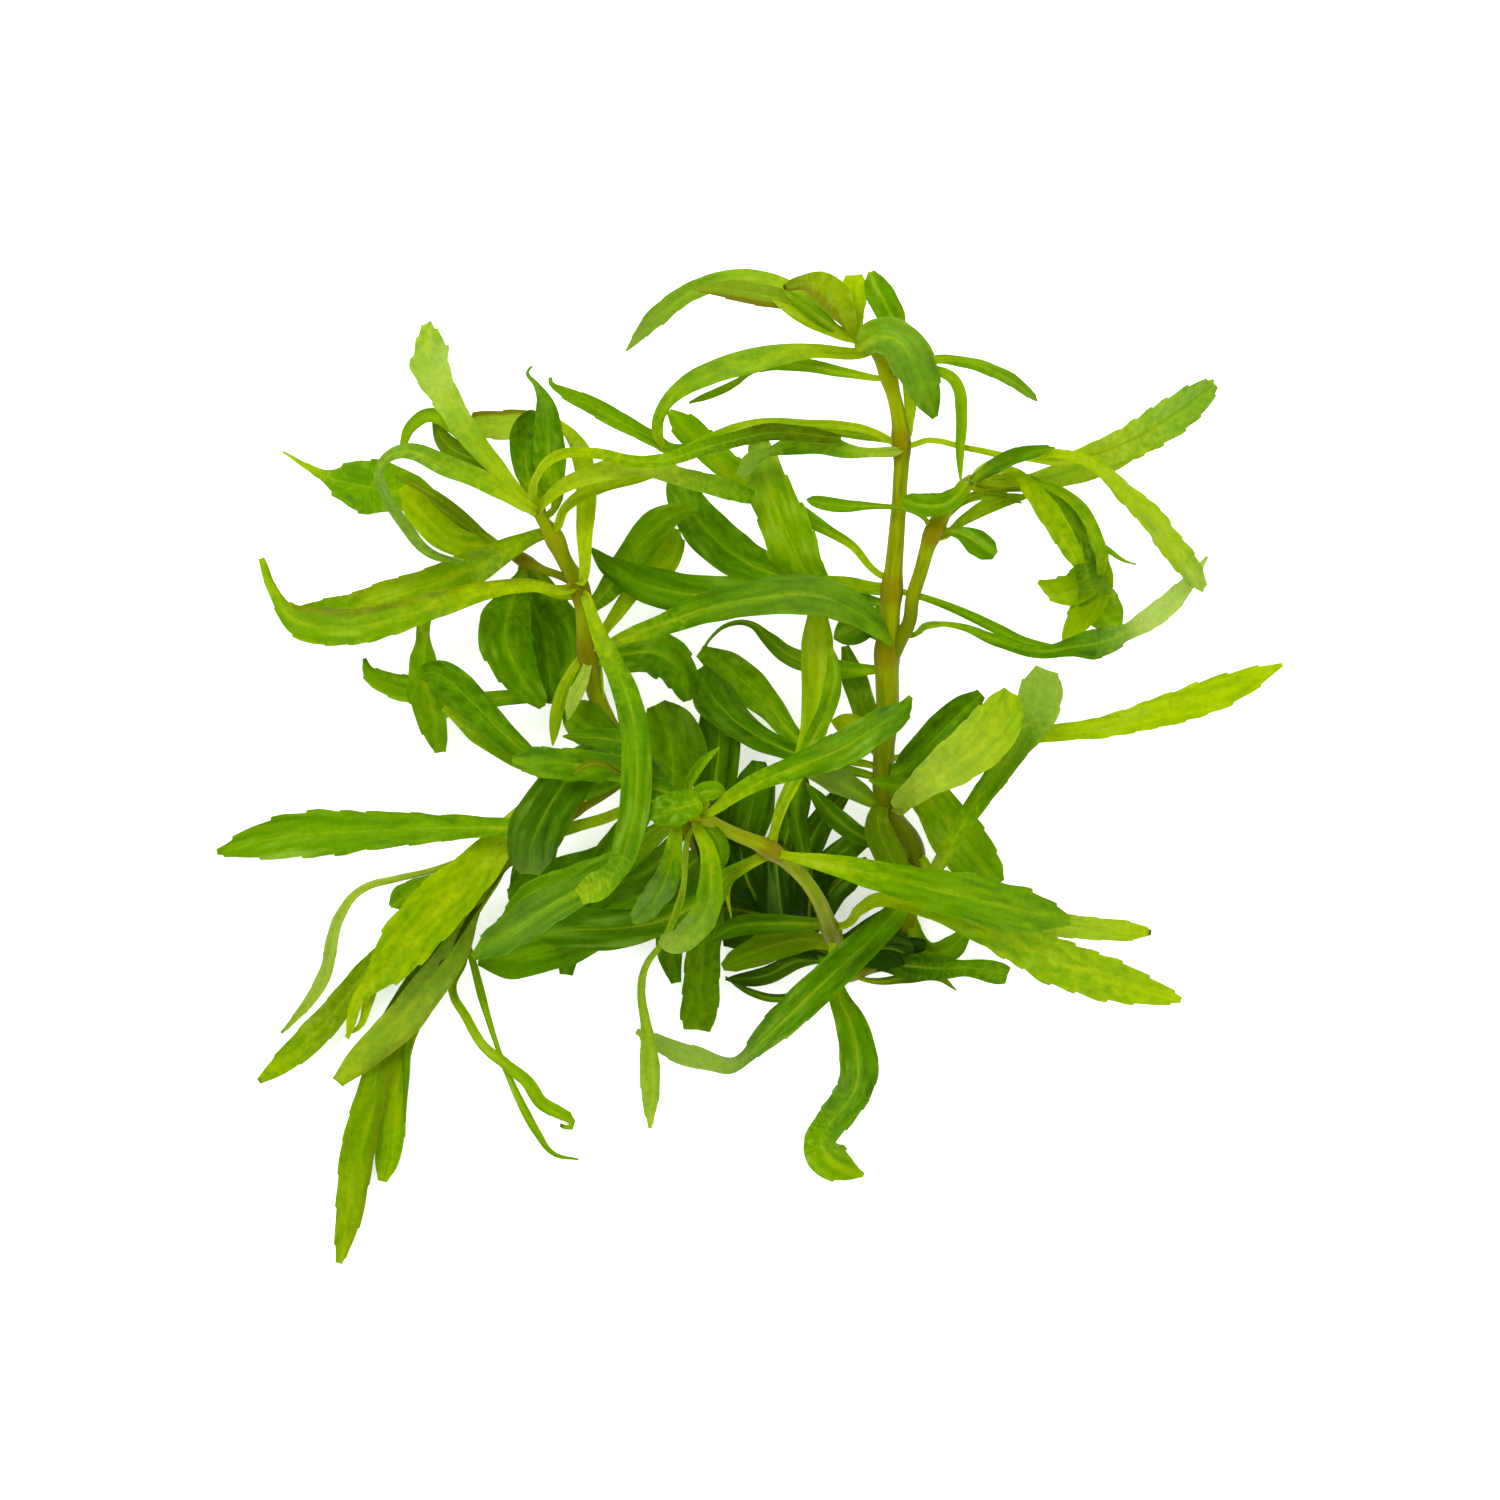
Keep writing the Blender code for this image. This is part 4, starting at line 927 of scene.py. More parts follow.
rightCrown = {
    "leaf_right_top_arch": dict(
        tone=(0.7, 0.62, 0.7), slot="leaf_olive", lean=(20, -20), wash=0.15, teeth=1,
        cut="0 1.2, 0.25 2, 0.5 3, 0.75 3.2, 0.9 1.8, 1 0.3",
        route="16.6 69.8 32.6, 9 75.6 34, 1 78.4 32, -7 77.2 27, -14 73 19, -19.8 66.6 7"),
    "leaf_right_top_fold": dict(
        tone=(0.5, 0.42, 0.4), cut="0 0.9, 0.2 2.6, 0.45 4.4, 0.7 4.6, 0.88 3.2, 1 0.9",
        route="19.4 67.6 33, 22.2 69.2 35, 22.8 71.4 36.2, 21.6 74.2 36.8, 20.2 77 36, 19.4 79.4 34.6"),
    "leaf_right_front_glossy": dict(
        tone=(0.45, 0.42, 0.4, 0.34), teeth=1, lean=(0, -20), wash=(0, 0.15, 0),
        cut="0 1.4, 0.15 4.8, 0.35 6.8, 0.6 6.6, 0.85 4.4, 1 1",
        route="17.4 67.2 35, 20.6 69.2 40, 24.2 67.8 42, 26.6 63.8 42, 28.2 60 40.4, 29.6 56 37.4"),
    "leaf_right_long": dict(
        tone=(0.7, 0.75, 0.8, 0.6, 0.5), slot="leaf_young", teeth=2, lean=(0, 12), keel=2.4,
        wash=(0, 0, 0.05, 0.1, 0.05),
        cut="0 0.8, 0.3 1.1, 0.4 2.4, 0.5 4.2, 0.65 5.8, 0.8 6, 0.91 4.8, 0.97 3, 1 1.2",
        route="25.8 51.6 31.6, 29 52.4 34, 36 51 35, 44 49.6 33, 52 49.4 27.5, 60 51.9 20, 68 56.6 10, "
              "74.3 61.3 1.1"),
}
rightCrownSmall = {
    "strapStalk": dict(
        width=1.8, tone=0.7, stalk=0.6,
        route="23.3 52 31.5, 20 53.6 33, 16 54.6 33, 10 54.9 32, 0 54.7 31, -6 52.7 30.5, -12 50 29.8, "
              "-20 48.3 28.5"),
    "paleArch": dict(
        width=3.3, tone=0.62, teeth=1, olive=0.6, rust=0.9, wash=0.1, brown=0.8,
        route="16.2 69 34, 10.6 72.2 36, 6 74.6 38, 1 75.8 38, -4 76.6 36.5, -9 76.5 34"),
    "cap": dict(
        tone=(0.9, 0.88, 0.8, 0.4), olive=(0, 0.3, 0.5, 1), rust=0.6, brown=1.0,
        cut="0 1.2, 0.3 3.2, 0.5 4.8, 0.68 4.4, 0.8 2.4, 0.92 1.8, 1 1",
        route="17 68.8 33.4, 15.4 72.4 37, 13.6 75.6 39.4, 10.8 77.4 39.8, 8 77.6 39, 5.4 76.6 38"),
    "youngFan": dict(
        tone=0.95, teeth=2, cut="0 1, 0.4 3, 0.8 4.2, 1 2.6",
        route="17.6 68.8 33, 16.8 72.6 34.6, 16.8 76 35, 16.6 78.8 34"),
    "streakOne": dict(width=2.4, tone=0.45, route="16.4 68.6 34, 11.8 71.6 37.4, 8 74.6 39.6, 5.4 76.4 40"),
    "streakTwo": dict(width=2, tone=0.8, route="16.6 68.2 34, 11.5 70.4 37, 7.4 72.6 38.6, 3.6 74.8 39.4"),
    "hook": dict(
        width=1.8, tone=0.62, stalk=0.6,
        route="22 63 32.2, 24 63.5 35, 29.5 63.6 39, 32.7 61.8 39, 33.8 57 38, 33.6 50.5 37, 33.7 45.3 36"),
    "behindArch": dict(
        tone=0.55, teeth=1, cut="0 0.8, 0.3 2, 0.5 2.2, 0.68 0.6, 0.8 1.4, 0.92 1.2, 1 0.3",
        route="21.5 62.2 31.5, 15 63.2 29.5, 8 64.4 28.5, 2 64 28, -3.4 60.9 27, -9.8 58.3 26"),
    "edgeOn": dict(width=2.0, tone=0.85, route="25 52.3 31, 25.5 56 32, 25.5 60 32.5, 24.5 64 32"),
    "foldedEnd": dict(
        tone=(0.7, 0.5, 0.42, 0.6), wash=(0.5, 0.1, 0, 0.5),
        cut="0 0.9, 0.25 1.6, 0.42 3.2, 0.58 3.6, 0.7 2.4, 0.78 1.2, 0.9 3, 1 1.4",
        route="24.3 51 32, 20.5 50.5 34, 16 50.6 35, 11 51.8 35, 6.5 51.4 34.5, 3 50.4 33, 0.6 49.4 32, "
              "-1.6 46.6 31"),
    "longThread": dict(
        tone=0.46, teeth=1, cut="0 0.9, 0.45 1.6, 0.62 2, 0.8 3, 0.92 2.2, 0.97 0.9, 1 0.5",
        route="24 52 29.5, 10 54 29, 0 53.5 28.5, -8 51.2 27.5, -13 51 26.5, -15 52.3 26, -20 55 24.5, "
              "-25 57.8 23, -30 60.2 21, -31.8 61.4 20.4, -32 62.4 20"),
    "thinArch": dict(
        width=2.1, tone=0.52, teeth=1, lean=(15, -15), stalk=0.5, tip=0.5, brown=0.4,
        route="24.2 63.6 32.4, 28 65 33, 34 65 30, 40 63 25, 44 60.4 20, 46 58.6 16.5"),
}
growWhorl("right crown", rightCrown)
growSmall("right_crown_small_leaves", "leaf_fresh", rightCrownSmall)


# Leaves of the side branch

branchCrown = {
    "leaf_branch_sickle": dict(
        tone=(0.8, 0.9, 0.88, 0.8), teeth=2, lean=(10, -18),
        cut="0 0.9, 0.2 1.2, 0.35 2, 0.5 3.2, 0.65 4, 0.82 4.1, 0.93 3.6, 1 1.3",
        route="36.2 46.8 35.6, 39 48.6 39.6, 42 49.8 42, 48 50.4 42, 54 49 38.4, 59.6 44.7 32, "
              "64.4 39.4 24, 69 33.6 15, 72.7 28.6 5"),
    "leaf_branch_inner": dict(
        tone=(0.7, 0.85, 0.8, 0.7), teeth=1, lean=(-10, 15), keel=1.4,
        cut="0 0.8, 0.25 1.2, 0.38 2.8, 0.55 3.6, 0.75 3.4, 0.9 3, 1 1.8",
        route="36.8 45.6 33.6, 39.4 47.6 35, 42 47.6 36, 44.8 44.8 36, 47.6 41 34.4, 50.2 37 32, "
              "52.6 32.6 29"),
    "leaf_branch_paddle": dict(
        tone=(0.5, 0.5, 0.36, 0.3, 0.62, 0.7), slot="leaf_deep", teeth=1, lean=(0, 10),
        cut="0 0.8, 0.3 1.2, 0.42 1.3, 0.52 2.2, 0.62 3.6, 0.72 4, 0.83 6.6, 0.92 6, 1 1.6",
        route="36.4 44.4 31.4, 42 44.6 29.4, 47.4 44.2 26.8, 50.6 42.2 25.4, 52.4 39 24.4, 53.2 34.6 22.4, "
              "54.4 30 18.6, 56.4 25.4 14, 58.8 21.8 11"),
    "leaf_branch_low_fold": dict(
        tone=(0.5, 0.45, 0.4, 0.36, 0.32, 0.3, 0.4, 0.95, 1, 1, 1), slot="leaf_deep", teeth=1, lean=(0, 20),
        wash=(0, 0, 0, 0, 0, 0, 0.3, 1, 1, 1, 1),
        cut="0 0.7, 0.14 0.9, 0.26 2, 0.36 2, 0.42 2.6, 0.48 4.6, 0.55 4.4, 0.6 2.4, 0.65 3.2, 0.74 3.9, "
            "0.83 3.5, 0.93 1.8, 1 0.3",
        route="25.6 21 25.2, 28.5 22.7 29, 34 22.6 32, 40 20.2 32, 46 18.6 30, 52 19.4 27, 56 20 24, "
              "59.6 21.4 21, 63.4 23.6 15.6, 67 26.2 10, 70.4 29.8 5, 73.2 33.7 1"),
}
branchSmall = {
    "acrossStem": dict(
        tone=0.4, teeth=1, cut="0 1, 0.3 3.2, 0.7 3.8, 0.9 2.6, 1 0.6",
        route="35 45.5 36, 31.6 42.4 38, 28 42 38, 24.3 43.1 37"),
    "darkTip": dict(
        width=2.4, tone=0.38, brown=0.8, teeth=1,
        route="35.6 46 36.5, 39.6 48.6 41, 44 50.3 43, 48.8 51.2 43"),
    "rustyStalk": dict(
        width=1.5, tone=0.6, olive=0.8, rust=0.8, stalk=0.8,
        route="35.4 45.8 34, 39 47.6 38, 42.6 49.4 39.6, 47 50.2 40"),
    "outerHook": dict(
        tone=(0.7, 0.7, 0.55), brown=0.7, teeth=1, cut="0 0.8, 0.35 1.2, 0.5 1.8, 0.8 2.2, 0.94 1.6, 1 0.7",
        route="35.8 46 33, 39 45.5 32, 46 45.4 31, 50.5 43.6 30, 53.6 40.5 28, 55.4 36.5 25.5, "
              "56.3 33 22.5, 55.9 30.3 20.5"),
    "tendril": dict(
        width=1.4, tone=0.5, brown=0.9,
        route="36 46 32, 44 46.4 30, 50 42 27, 53.5 37 24, 57 35 22, 60 33 20, 61.8 32.5 19"),
    "underLong": dict(
        width=4.2, tone=0.82, wash=0.12,
        route="36 45.5 31, 42 45.2 29, 47 46 26, 53 47.8 22, 60 50.2 17, 65 53 14"),
    "twinOne": dict(width=2.3, tone=0.72, route="30 36.8 31, 34.5 39.8 30, 40 42.5 28.5, 45 43.5 27"),
    "twinTwo": dict(width=1.7, tone=0.6, route="31 39.5 32, 34 42.5 31.5, 38.5 43.8 30, 43.5 42.3 28"),
    "darkSpoon": dict(
        tone=0.34, cut="0 0.8, 0.3 2, 0.6 3.9, 0.85 3.6, 1 1.4",
        route="30.8 38.2 32, 34 37.4 33, 36.5 35.9 33, 39.2 33.9 32"),
    "forkUpper": dict(
        tone=(0.66, 0.7, 0.8), teeth=1, cut="0 0.8, 0.5 2, 0.66 5, 0.84 5.6, 0.94 3.4, 1 0.4",
        route="36 45.8 31, 46 44 26, 53 38 21, 54.6 31.6 17.5, 52 28.6 16.5, 49.4 28.4 16, 46.1 29.7 15.5"),
    "forkLower": dict(
        tone=(0.66, 0.75, 0.75), teeth=1, cut="0 0.8, 0.5 2, 0.72 5.4, 0.86 4.6, 0.95 2.6, 1 0.6",
        route="36 45.8 30.5, 46 44 25.5, 53 38 20.5, 55.4 29 16, 53.6 25 15.5, 51.6 22 15, 50.2 19 14.5"),
    "lowStalk": dict(
        width=1.6, tone=0.5, stalk=0.6,
        route="23 28.5 27.5, 27.5 27.3 28.5, 33 25.3 28, 39 22.4 27, 44 20.2 25.5, 49.3 19.4 24"),
    "splitEnd": dict(
        width=2.2, tone=0.34, stalk=0.4, belly=0.8, tip=0.4, teeth=1,
        route="29 38.2 32, 28 39.8 33, 25 41.3 33.5, 20 41.8 33.5, 14 42 33, 9 42.9 32"),
}
growWhorl("branch", branchCrown)
growSmall("branch_small_leaves", "leaf_fresh", branchSmall)


# Leaves in the centre

centreWhorl = {
    "leaf_centre_upright": dict(
        tone=(0.55, 0.45, 0.5), lean=(10, -10), cut="0 1.1, 0.25 1.6, 0.5 2.6, 0.75 3, 0.92 1.8, 1 0.4",
        route="3.4 -11 40.2, 4.3 -8 41, 5.8 -4 40.6, 8 0 39, 10 4.5 37, 12.2 9 34.6, 13.4 14.5 31, "
              "13 19.3 27"),
    "leaf_centre_across": dict(
        tone=(0.6, 0.4, 0.38, 0.42), teeth=1, lean=(0, 12), keel=1.3,
        cut="0 1.2, 0.2 2.6, 0.4 4.2, 0.65 5.6, 0.85 4.6, 0.95 2.4, 1 0.5",
        route="-6.6 -7.2 50.2, -3 -4.8 51, 2 -2 51, 8 0.4 50, 14 2.8 47, 20 6.4 42, 24.4 9.2 37.4, "
              "25.7 11.4 36"),
}
# The shade and deep blades are painted shade: dark sheets, some near black, that fill the hollow under the
# front crown where the leaves above cast shadow.
centreShaded = {
    "oliveBack": dict(
        tone=(0.4, 0.5, 0.55, 0.45), cut="0 1, 0.35 2, 0.5 3.6, 0.7 6, 0.86 5.6, 1 2",
        route="20.6 0 17.5, 15 1.4 17, 8 4.4 16, 3 9.8 15, -2 14.6 13, -8 18.6 11"),
    "darkAcross": dict(
        tone=(0.3, 0.3, 0.26, 0.3), cut="0 1, 0.3 2.4, 0.48 3.2, 0.65 4.6, 0.85 7, 1 3",
        route="20.8 -2 17, 12 0.6 18, 5.6 2.9 18.5, 0 5.8 18, -4.6 9.6 17, -8.4 15.6 15.5"),
    "midBroad": dict(
        tone=(0.3, 0.42, 0.46), olive=0.2, cut="0 1.4, 0.25 7, 0.5 11, 0.8 8.6, 1 3",
        route="-13.2 -6 11.6, -12.4 -2.6 13.4, -12.4 2 13.6, -13.4 6.6 12.6, -15 10 11"),
    "deepOne": dict(
        tone=0.15, cut="0 1.4, 0.2 5.4, 0.45 7.4, 0.7 7, 0.88 4.6, 1 1.2",
        route="-7.6 -12.2 9.6, -6.4 -7 11.4, -5.4 -1 12.2, -5 6 12, -6.2 12.6 11.4"),
    "deepTwo": dict(
        tone=0.2, cut="0 1.4, 0.25 5.6, 0.55 7.2, 0.85 6.2, 1 2",
        route="-2.6 -16.8 8.2, -0.8 -11 10.8, 0.6 -5 11.6, 1.4 1 11.4"),
    "deepThree": dict(
        tone=0.12, cut="0 1.4, 0.3 4.6, 0.6 5.6, 0.85 4, 1 1",
        route="3.4 -22 6.4, 4.6 -16 9.8, 6 -10.4 11.4, 7.6 -5 12, 8.6 -0.4 12"),
    "shadeOne": dict(
        tone=-0.05, cut="0 1.6, 0.4 7, 0.75 7, 1 2",
        route="1.4 -21.6 7, 0.4 -20 10.6, -0.8 -17 13, -2 -10 13.6"),
    "shadeTwo": dict(
        tone=0.0, cut="0 1.6, 0.4 7, 0.75 7, 1 2",
        route="5 -24.4 6, 4.8 -22 10.4, 4.4 -18 13, 4 -11.6 13.4"),
    "shadeThree": dict(
        tone=-0.1, cut="0 1.6, 0.4 6.4, 0.75 6, 1 1.6",
        route="9 -27.2 5, 9.4 -24 9.8, 9.6 -20 12.8, 10 -13.6 13"),
    "shadeFive": dict(
        tone=0.08, cut="0 1.6, 0.35 5, 0.75 5.4, 1 1.6",
        route="9 -27.2 5, 11 -23 9, 14 -18.6 11, 19 -15 12"),
    "shadeFour": dict(
        tone=0.1, cut="0 1.6, 0.4 7, 0.75 7, 1 2",
        route="-2.4 -17.2 8.4, -4 -16 12, -5.4 -12 13.4, -6.4 -5.6 13.6"),
    "coil": dict(
        tone=0.34, cut="0 1.2, 0.2 3, 0.4 3.2, 0.55 2.6, 0.66 1.1, 0.76 0.6, 1 0.4",
        route="20.6 15.6 23.4, 15 15.6 21, 10 16.6 19, 6 18 18, 3 20.5 17, 0 23 16.5, -3.4 22.9 16, "
              "-6 21 15, -8 18 14"),
    "shortRight": dict(width=5.4, tone=0.36, route="22 25 25.5, 17.4 22.5 24, 13.4 20.6 22.5"),
    "oliveSlant": dict(
        tone=0.4, olive=0.2, cut="0 1.2, 0.35 4, 0.7 4.2, 1 1.2",
        route="20.2 2.4 18, 19.4 6 18.5, 18 10 18.5, 16.6 14.4 17.5, 15.2 19.4 16.5"),
    "stemSide": dict(
        tone=0.5, olive=0.4, cut="0 1.4, 0.4 4.4, 0.8 5, 1 1.4",
        route="21.6 -4.6 16.4, 20.4 -9 18, 21.8 -13 17.6, 24.4 -17.4 16"),
    "fromCrown": dict(
        width=3.5, tone=0.3, stalk=0.4,
        route="-10.6 -6.4 48, -13 -3.5 47, -16 0 44, -19 3.5 40, -22 4.5 37, -30 5 32"),
    "reversedOne": dict(width=3.4, tone=0.3, route="25.4 -12.4 11.5, 19 -11.6 14, 14 -8.4 16, 9 -2.6 17"),
    "reversedTwo": dict(width=3.0, tone=0.24, route="9 -17.6 29.5, 8.4 -13 26, 7.4 -8 23, 7.6 -3 20"),
    "reversedPale": dict(
        tone=0.45, olive=0.3, wash=(0, 0.1, 0.3, 0.1), cut="0 1, 0.3 3, 0.6 4.2, 1 1",
        route="21.4 -6 16, 19.6 -5.5 17.6, 17.2 -4 18.6, 13 -1.8 18.8, 8 -0.6 17.6"),
    "deepFour": dict(
        tone=0.16, cut="0 1.2, 0.3 4, 0.6 4.6, 0.85 3.6, 1 1",
        route="9 -27.2 5, 9.6 -21 9, 12.4 -16 11.4, 16 -12.6 13, 21 -9.4 13.6"),
    "deepFive": dict(
        tone=0.12, cut="0 1.2, 0.3 4, 0.6 4.6, 0.85 3.2, 1 1",
        route="9 -27.2 5, 8 -20 9, 9.4 -12.6 11.4, 12.4 -7.4 13, 17 -1.6 13.6"),
    "shadeLow": dict(
        tone=0.0, cut="0 1.6, 0.3 7, 0.75 7.6, 1 2",
        route="5 -24.4 6, 1 -23.4 8, -3.6 -22.6 8.4, -9 -22.4 7.6"),
    "shadeLowest": dict(
        tone=-0.1, cut="0 1.6, 0.3 6, 0.75 6.6, 1 2",
        route="12 -29 4, 7 -27 7, 2 -26.4 7.4, -4.4 -27.6 6"),
}
centreYoung = {
    "behindUpright": dict(
        tone=0.74, cut="0 1, 0.3 2.6, 0.6 4.8, 0.9 5, 1 3",
        route="4 -10.5 37, 6.5 -3 31, 9.4 3.4 26, 10.4 8 24.8, 10.8 14 23.5, 10.8 19 22.8, 10.8 24.6 22"),
    "yellowBit": dict(width=3.6, tone=0.95, route="20.5 5 20.2, 17 6.5 20, 13 7.4 19"),
    "blackTip": dict(
        width=1.3, tone=0.45, brown=1.0, stalk=0.6,
        route="-10.4 -6 49.6, -9.4 -2 50, -7.4 1 50, -4.8 3.4 49.5"),
}
growWhorl("centre", centreWhorl)
growSmall("centre_shaded_leaves", "leaf_deep", centreShaded)
growSmall("centre_young_leaves", "leaf_young", centreYoung)


# Leaves on the right side

rightSide = {
    "leaf_side_bright": dict(
        tone=(0.7, 0.8, 0.85, 0.9), slot="leaf_young", teeth=2, lean=(0, 8),
        cut="0 1, 0.2 1.6, 0.42 2.7, 0.58 4.2, 0.7 5.2, 0.81 5.5, 0.91 3.8, 1 0.4",
        route="23.8 1.6 18.4, 27 1.8 17.8, 31 2.4 17, 40 4 16, 46 5.2 14.6, 55 6.2 12.4, 65 8.6 9, "
              "75 12 5, 85.2 16.4 0.8"),
    "leaf_side_tall": dict(
        tone=(0.6, 0.62, 0.5, 0.5, 0.7), teeth=1, lean=(0, 12), wash=(0, 0, 0, 0.1, 0.6),
        cut="0 1, 0.2 2.2, 0.4 3.2, 0.55 3.8, 0.7 5, 0.84 7.2, 0.94 7, 1 3.4",
        route="27.4 -14.6 12, 29 -16.4 16.6, 31 -14.6 21.6, 32.8 -11 24, 36.8 -5 25, 40.5 0.4 24, 44 6 21, "
              "46.4 11.4 17.6, 47.4 15.6 15.5"),
    "leaf_side_front": dict(
        tone=(0.7, 0.85, 0.8), slot="leaf_young", teeth=1, lean=(-5, 10), wash=(0.3, 0.3, 0.0),
        cut="0 1.4, 0.2 2.4, 0.38 4.6, 0.6 7.2, 0.8 8.4, 0.93 6.2, 1 2.6",
        route="23.4 -6.6 17.8, 24.2 -6.6 23, 25.2 -4.8 29, 27.6 -2.6 32.4, 31.4 0 33.6, 36.4 3.8 33.6, "
              "40 8 31.6, 41.8 12 29"),
    "leaf_side_olive_broad": dict(
        tone=(0.55, 0.6, 0.58), slot="leaf_olive", teeth=1, lean=(0, -8),
        cut="0 2.4, 0.2 6.6, 0.45 8.2, 0.7 7.6, 0.9 6, 1 3",
        route="24.4 -3 13.8, 28.6 -5 14, 31.6 -9 14, 35.4 -14 12.6, 39.4 -19 10"),
    "leaf_low_serrated_upper": dict(
        tone=(0.6, 0.5, 0.5, 0.46), teeth=2, lean=(0, -10),
        cut="0 1.2, 0.1 2.4, 0.31 4.8, 0.52 6.8, 0.68 7.8, 0.82 6.4, 0.93 4, 1 1.2",
        route="5.4 -13.9 39.6, 10 -14.8 41, 18 -16.6 41, 26 -18.7 39, 36 -21 34, 44 -22.9 28, "
              "51.2 -24.5 22"),
    "leaf_low_serrated_long": dict(
        tone=(0.6, 0.6, 0.72, 0.85), slot="leaf_young", teeth=2, lean=(0, 10),
        cut="0 1.2, 0.2 2.6, 0.4 5.2, 0.62 7.4, 0.77 7, 0.89 4.8, 0.96 2.8, 1 0.6",
        route="15.2 -25.2 22, 17.6 -22.8 26, 21 -21.2 29.4, 30 -23 31.4, 37 -25.6 28.6, 44 -28.7 23, "
              "52 -32 16, 60 -34.8 9, 69 -37.3 2.6"),
    "leaf_low_brown_end": dict(
        tone=(0.7, 0.8, 0.82), slot="leaf_young", teeth=1, brown=1.0, lean=(0, 15), wash=(0, 0, 0.2, 0),
        cut="0 0.9, 0.4 3, 0.7 3.8, 0.9 3.4, 0.96 2.2, 1 0.6",
        route="27.6 -18.4 8.6, 29.6 -21 14.6, 33 -23 19, 39 -24.2 20, 45 -24.9 18.6, 52 -25.5 16, "
              "58 -26 13, 64.2 -26.5 9.6"),
}
rightSideSmall = {
    "darkBlunt": dict(
        tone=(0.3, 0.3, 0.22), cut="0 1.4, 0.3 4.6, 0.65 5.6, 0.88 4.4, 1 1.6",
        route="21.3 -1 17.6, 24 -0.6 21, 28 3 26, 32.4 7.5 26, 37 11.8 25"),
    "smallArrow": dict(width=2.8, tone=0.5, route="23.4 -5.6 18.4, 26.6 -4 22, 24 -3 24.6, 19 -2.1 25"),
}
growWhorl("right side", rightSide)
growSmall("right_side_small_leaves", "leaf_deep", rightSideSmall)


# Leaves of the front crown

frontCrown = {
    "leaf_front_keeled": dict(
        tone=(0.45, 0.3, 0.34), teeth=1, lean=(0, -10), keel=2.6, wash=(0, 0, 0.15, 0),
        cut="0 1.2, 0.2 2.6, 0.5 4.2, 0.8 3.8, 0.93 2.4, 1 0.5",
        route="-11.6 -8.4 49.4, -12.2 -12 50.4, -13 -16 49.4, -14.8 -20 46, -18.6 -24.8 40"),
    "leaf_front_bright": dict(
        tone=(0.6, 0.54, 0.6, 0.75), teeth=1, lean=(0, 20), keel=1.4, wash=(0, 0, 0, 0.1, 0.6),
        cut="0 1.3, 0.2 3, 0.45 4.2, 0.65 4.4, 0.82 4, 0.93 3.4, 1 1",
        route="-8.6 -9.2 49, -6.8 -13 50, -6.2 -18 48, -7.2 -23 44, -9.6 -26.4 39.6, -11.8 -27.9 36, "
              "-14.4 -27.4 33.4"),
    "leaf_front_left_low": dict(
        tone=(0.34, 0.36, 0.34), teeth=1, lean=(0, 10), wash=(0, 0, 0.1, 0),
        cut="0 1.4, 0.2 3, 0.45 5.2, 0.7 6, 0.88 4.8, 1 1",
        route="-12.2 -8.8 46.4, -15 -11 45.6, -20 -14.6 43, -26 -18.6 39, -32 -22 35, -38 -26 29.6, "
              "-44.3 -30.4 23"),
    "leaf_front_left_cross": dict(
        tone=(0.4, 0.4, 0.46), teeth=1, lean=(-10, 0), cut="0 1.4, 0.3 4, 0.6 5.2, 0.85 4.6, 1 1.2",
        route="-12.2 -4.6 47, -17 -1 44.4, -21 0 41.8, -26 0.4 39, -32 0.9 36, -38 1.2 31"),
    "leaf_front_left_hanging": dict(
        tone=(0.4, 0.28, 0.24, 0.26), slot="leaf_deep", ripple=1.4, wash=(0, 0, 0, 0, 0.15),
        cut="0 1, 0.25 4, 0.4 6.6, 0.55 8.2, 0.76 8.8, 0.92 6.6, 1 3",
        route="-19.6 1.4 16.8, -22.2 1.8 24.6, -25.4 0.8 30.6, -28.8 -1.6 33, -31.4 -5 32.4, "
              "-33.6 -9 30.4, -35 -13 27.4, -35.2 -17 23.6"),
}
frontSmall = {
    "roundTop": dict(
        tone=(0.5, 0.42, 0.36), teeth=1, keel=2.0, cut="0 1.8, 0.25 4, 0.55 5.4, 0.85 4, 1 1.6",
        route="-7.4 -5.4 51, -10.6 -6.2 53, -16.2 -7.4 52"),
    "roundSide": dict(
        width=3.0, tone=0.48,
        route="-8.6 -6 50.4, -8.4 -4.4 52, -6.4 -3.6 52.4, -3.8 -3.8 51"),
    "underLow": dict(
        width=4.0, tone=0.5, teeth=1,
        route="-12 -8 47, -15 -10.5 44, -22 -15 38, -29 -18 34, -35 -20 30, -40 -24.5 25"),
    "crownRight": dict(
        width=2.8, tone=0.4,
        route="-9.4 -7.6 48.6, -6.4 -9.8 47, -4.6 -13 45, -4.8 -16.6 43"),
    "crownBack": dict(width=3.6, tone=0.36, route="-11 -6 48.6, -14 -3.6 49.6, -17 -3.4 49, -20.4 -4.4 47"),
    "paleEdge": dict(
        width=3.0, tone=0.52, stalk=0.5, teeth=1,
        route="2.5 -14 38, -1 -15.8 37.5, -4 -17.8 36, -5.5 -21 34, -7.5 -25 31"),
    "thread": dict(
        width=0.8, tone=0.7, olive=0.4,
        route="2.5 -14 37.6, -2 -16.6 36.6, -3.5 -19.5 35, -3 -24 33"),
    "deadTip": dict(
        width=1.0, tone=0.2, brown=1.0, olive=1.0, stalk=0.4,
        route="-21 -0.6 42.4, -24 0.6 44, -26.4 0.4 44.4, -28.4 -1.2 44"),
}
growWhorl("front crown", frontCrown)
growSmall("front_crown_small_leaves", "leaf_fresh", frontSmall)


# Leaves near the foot

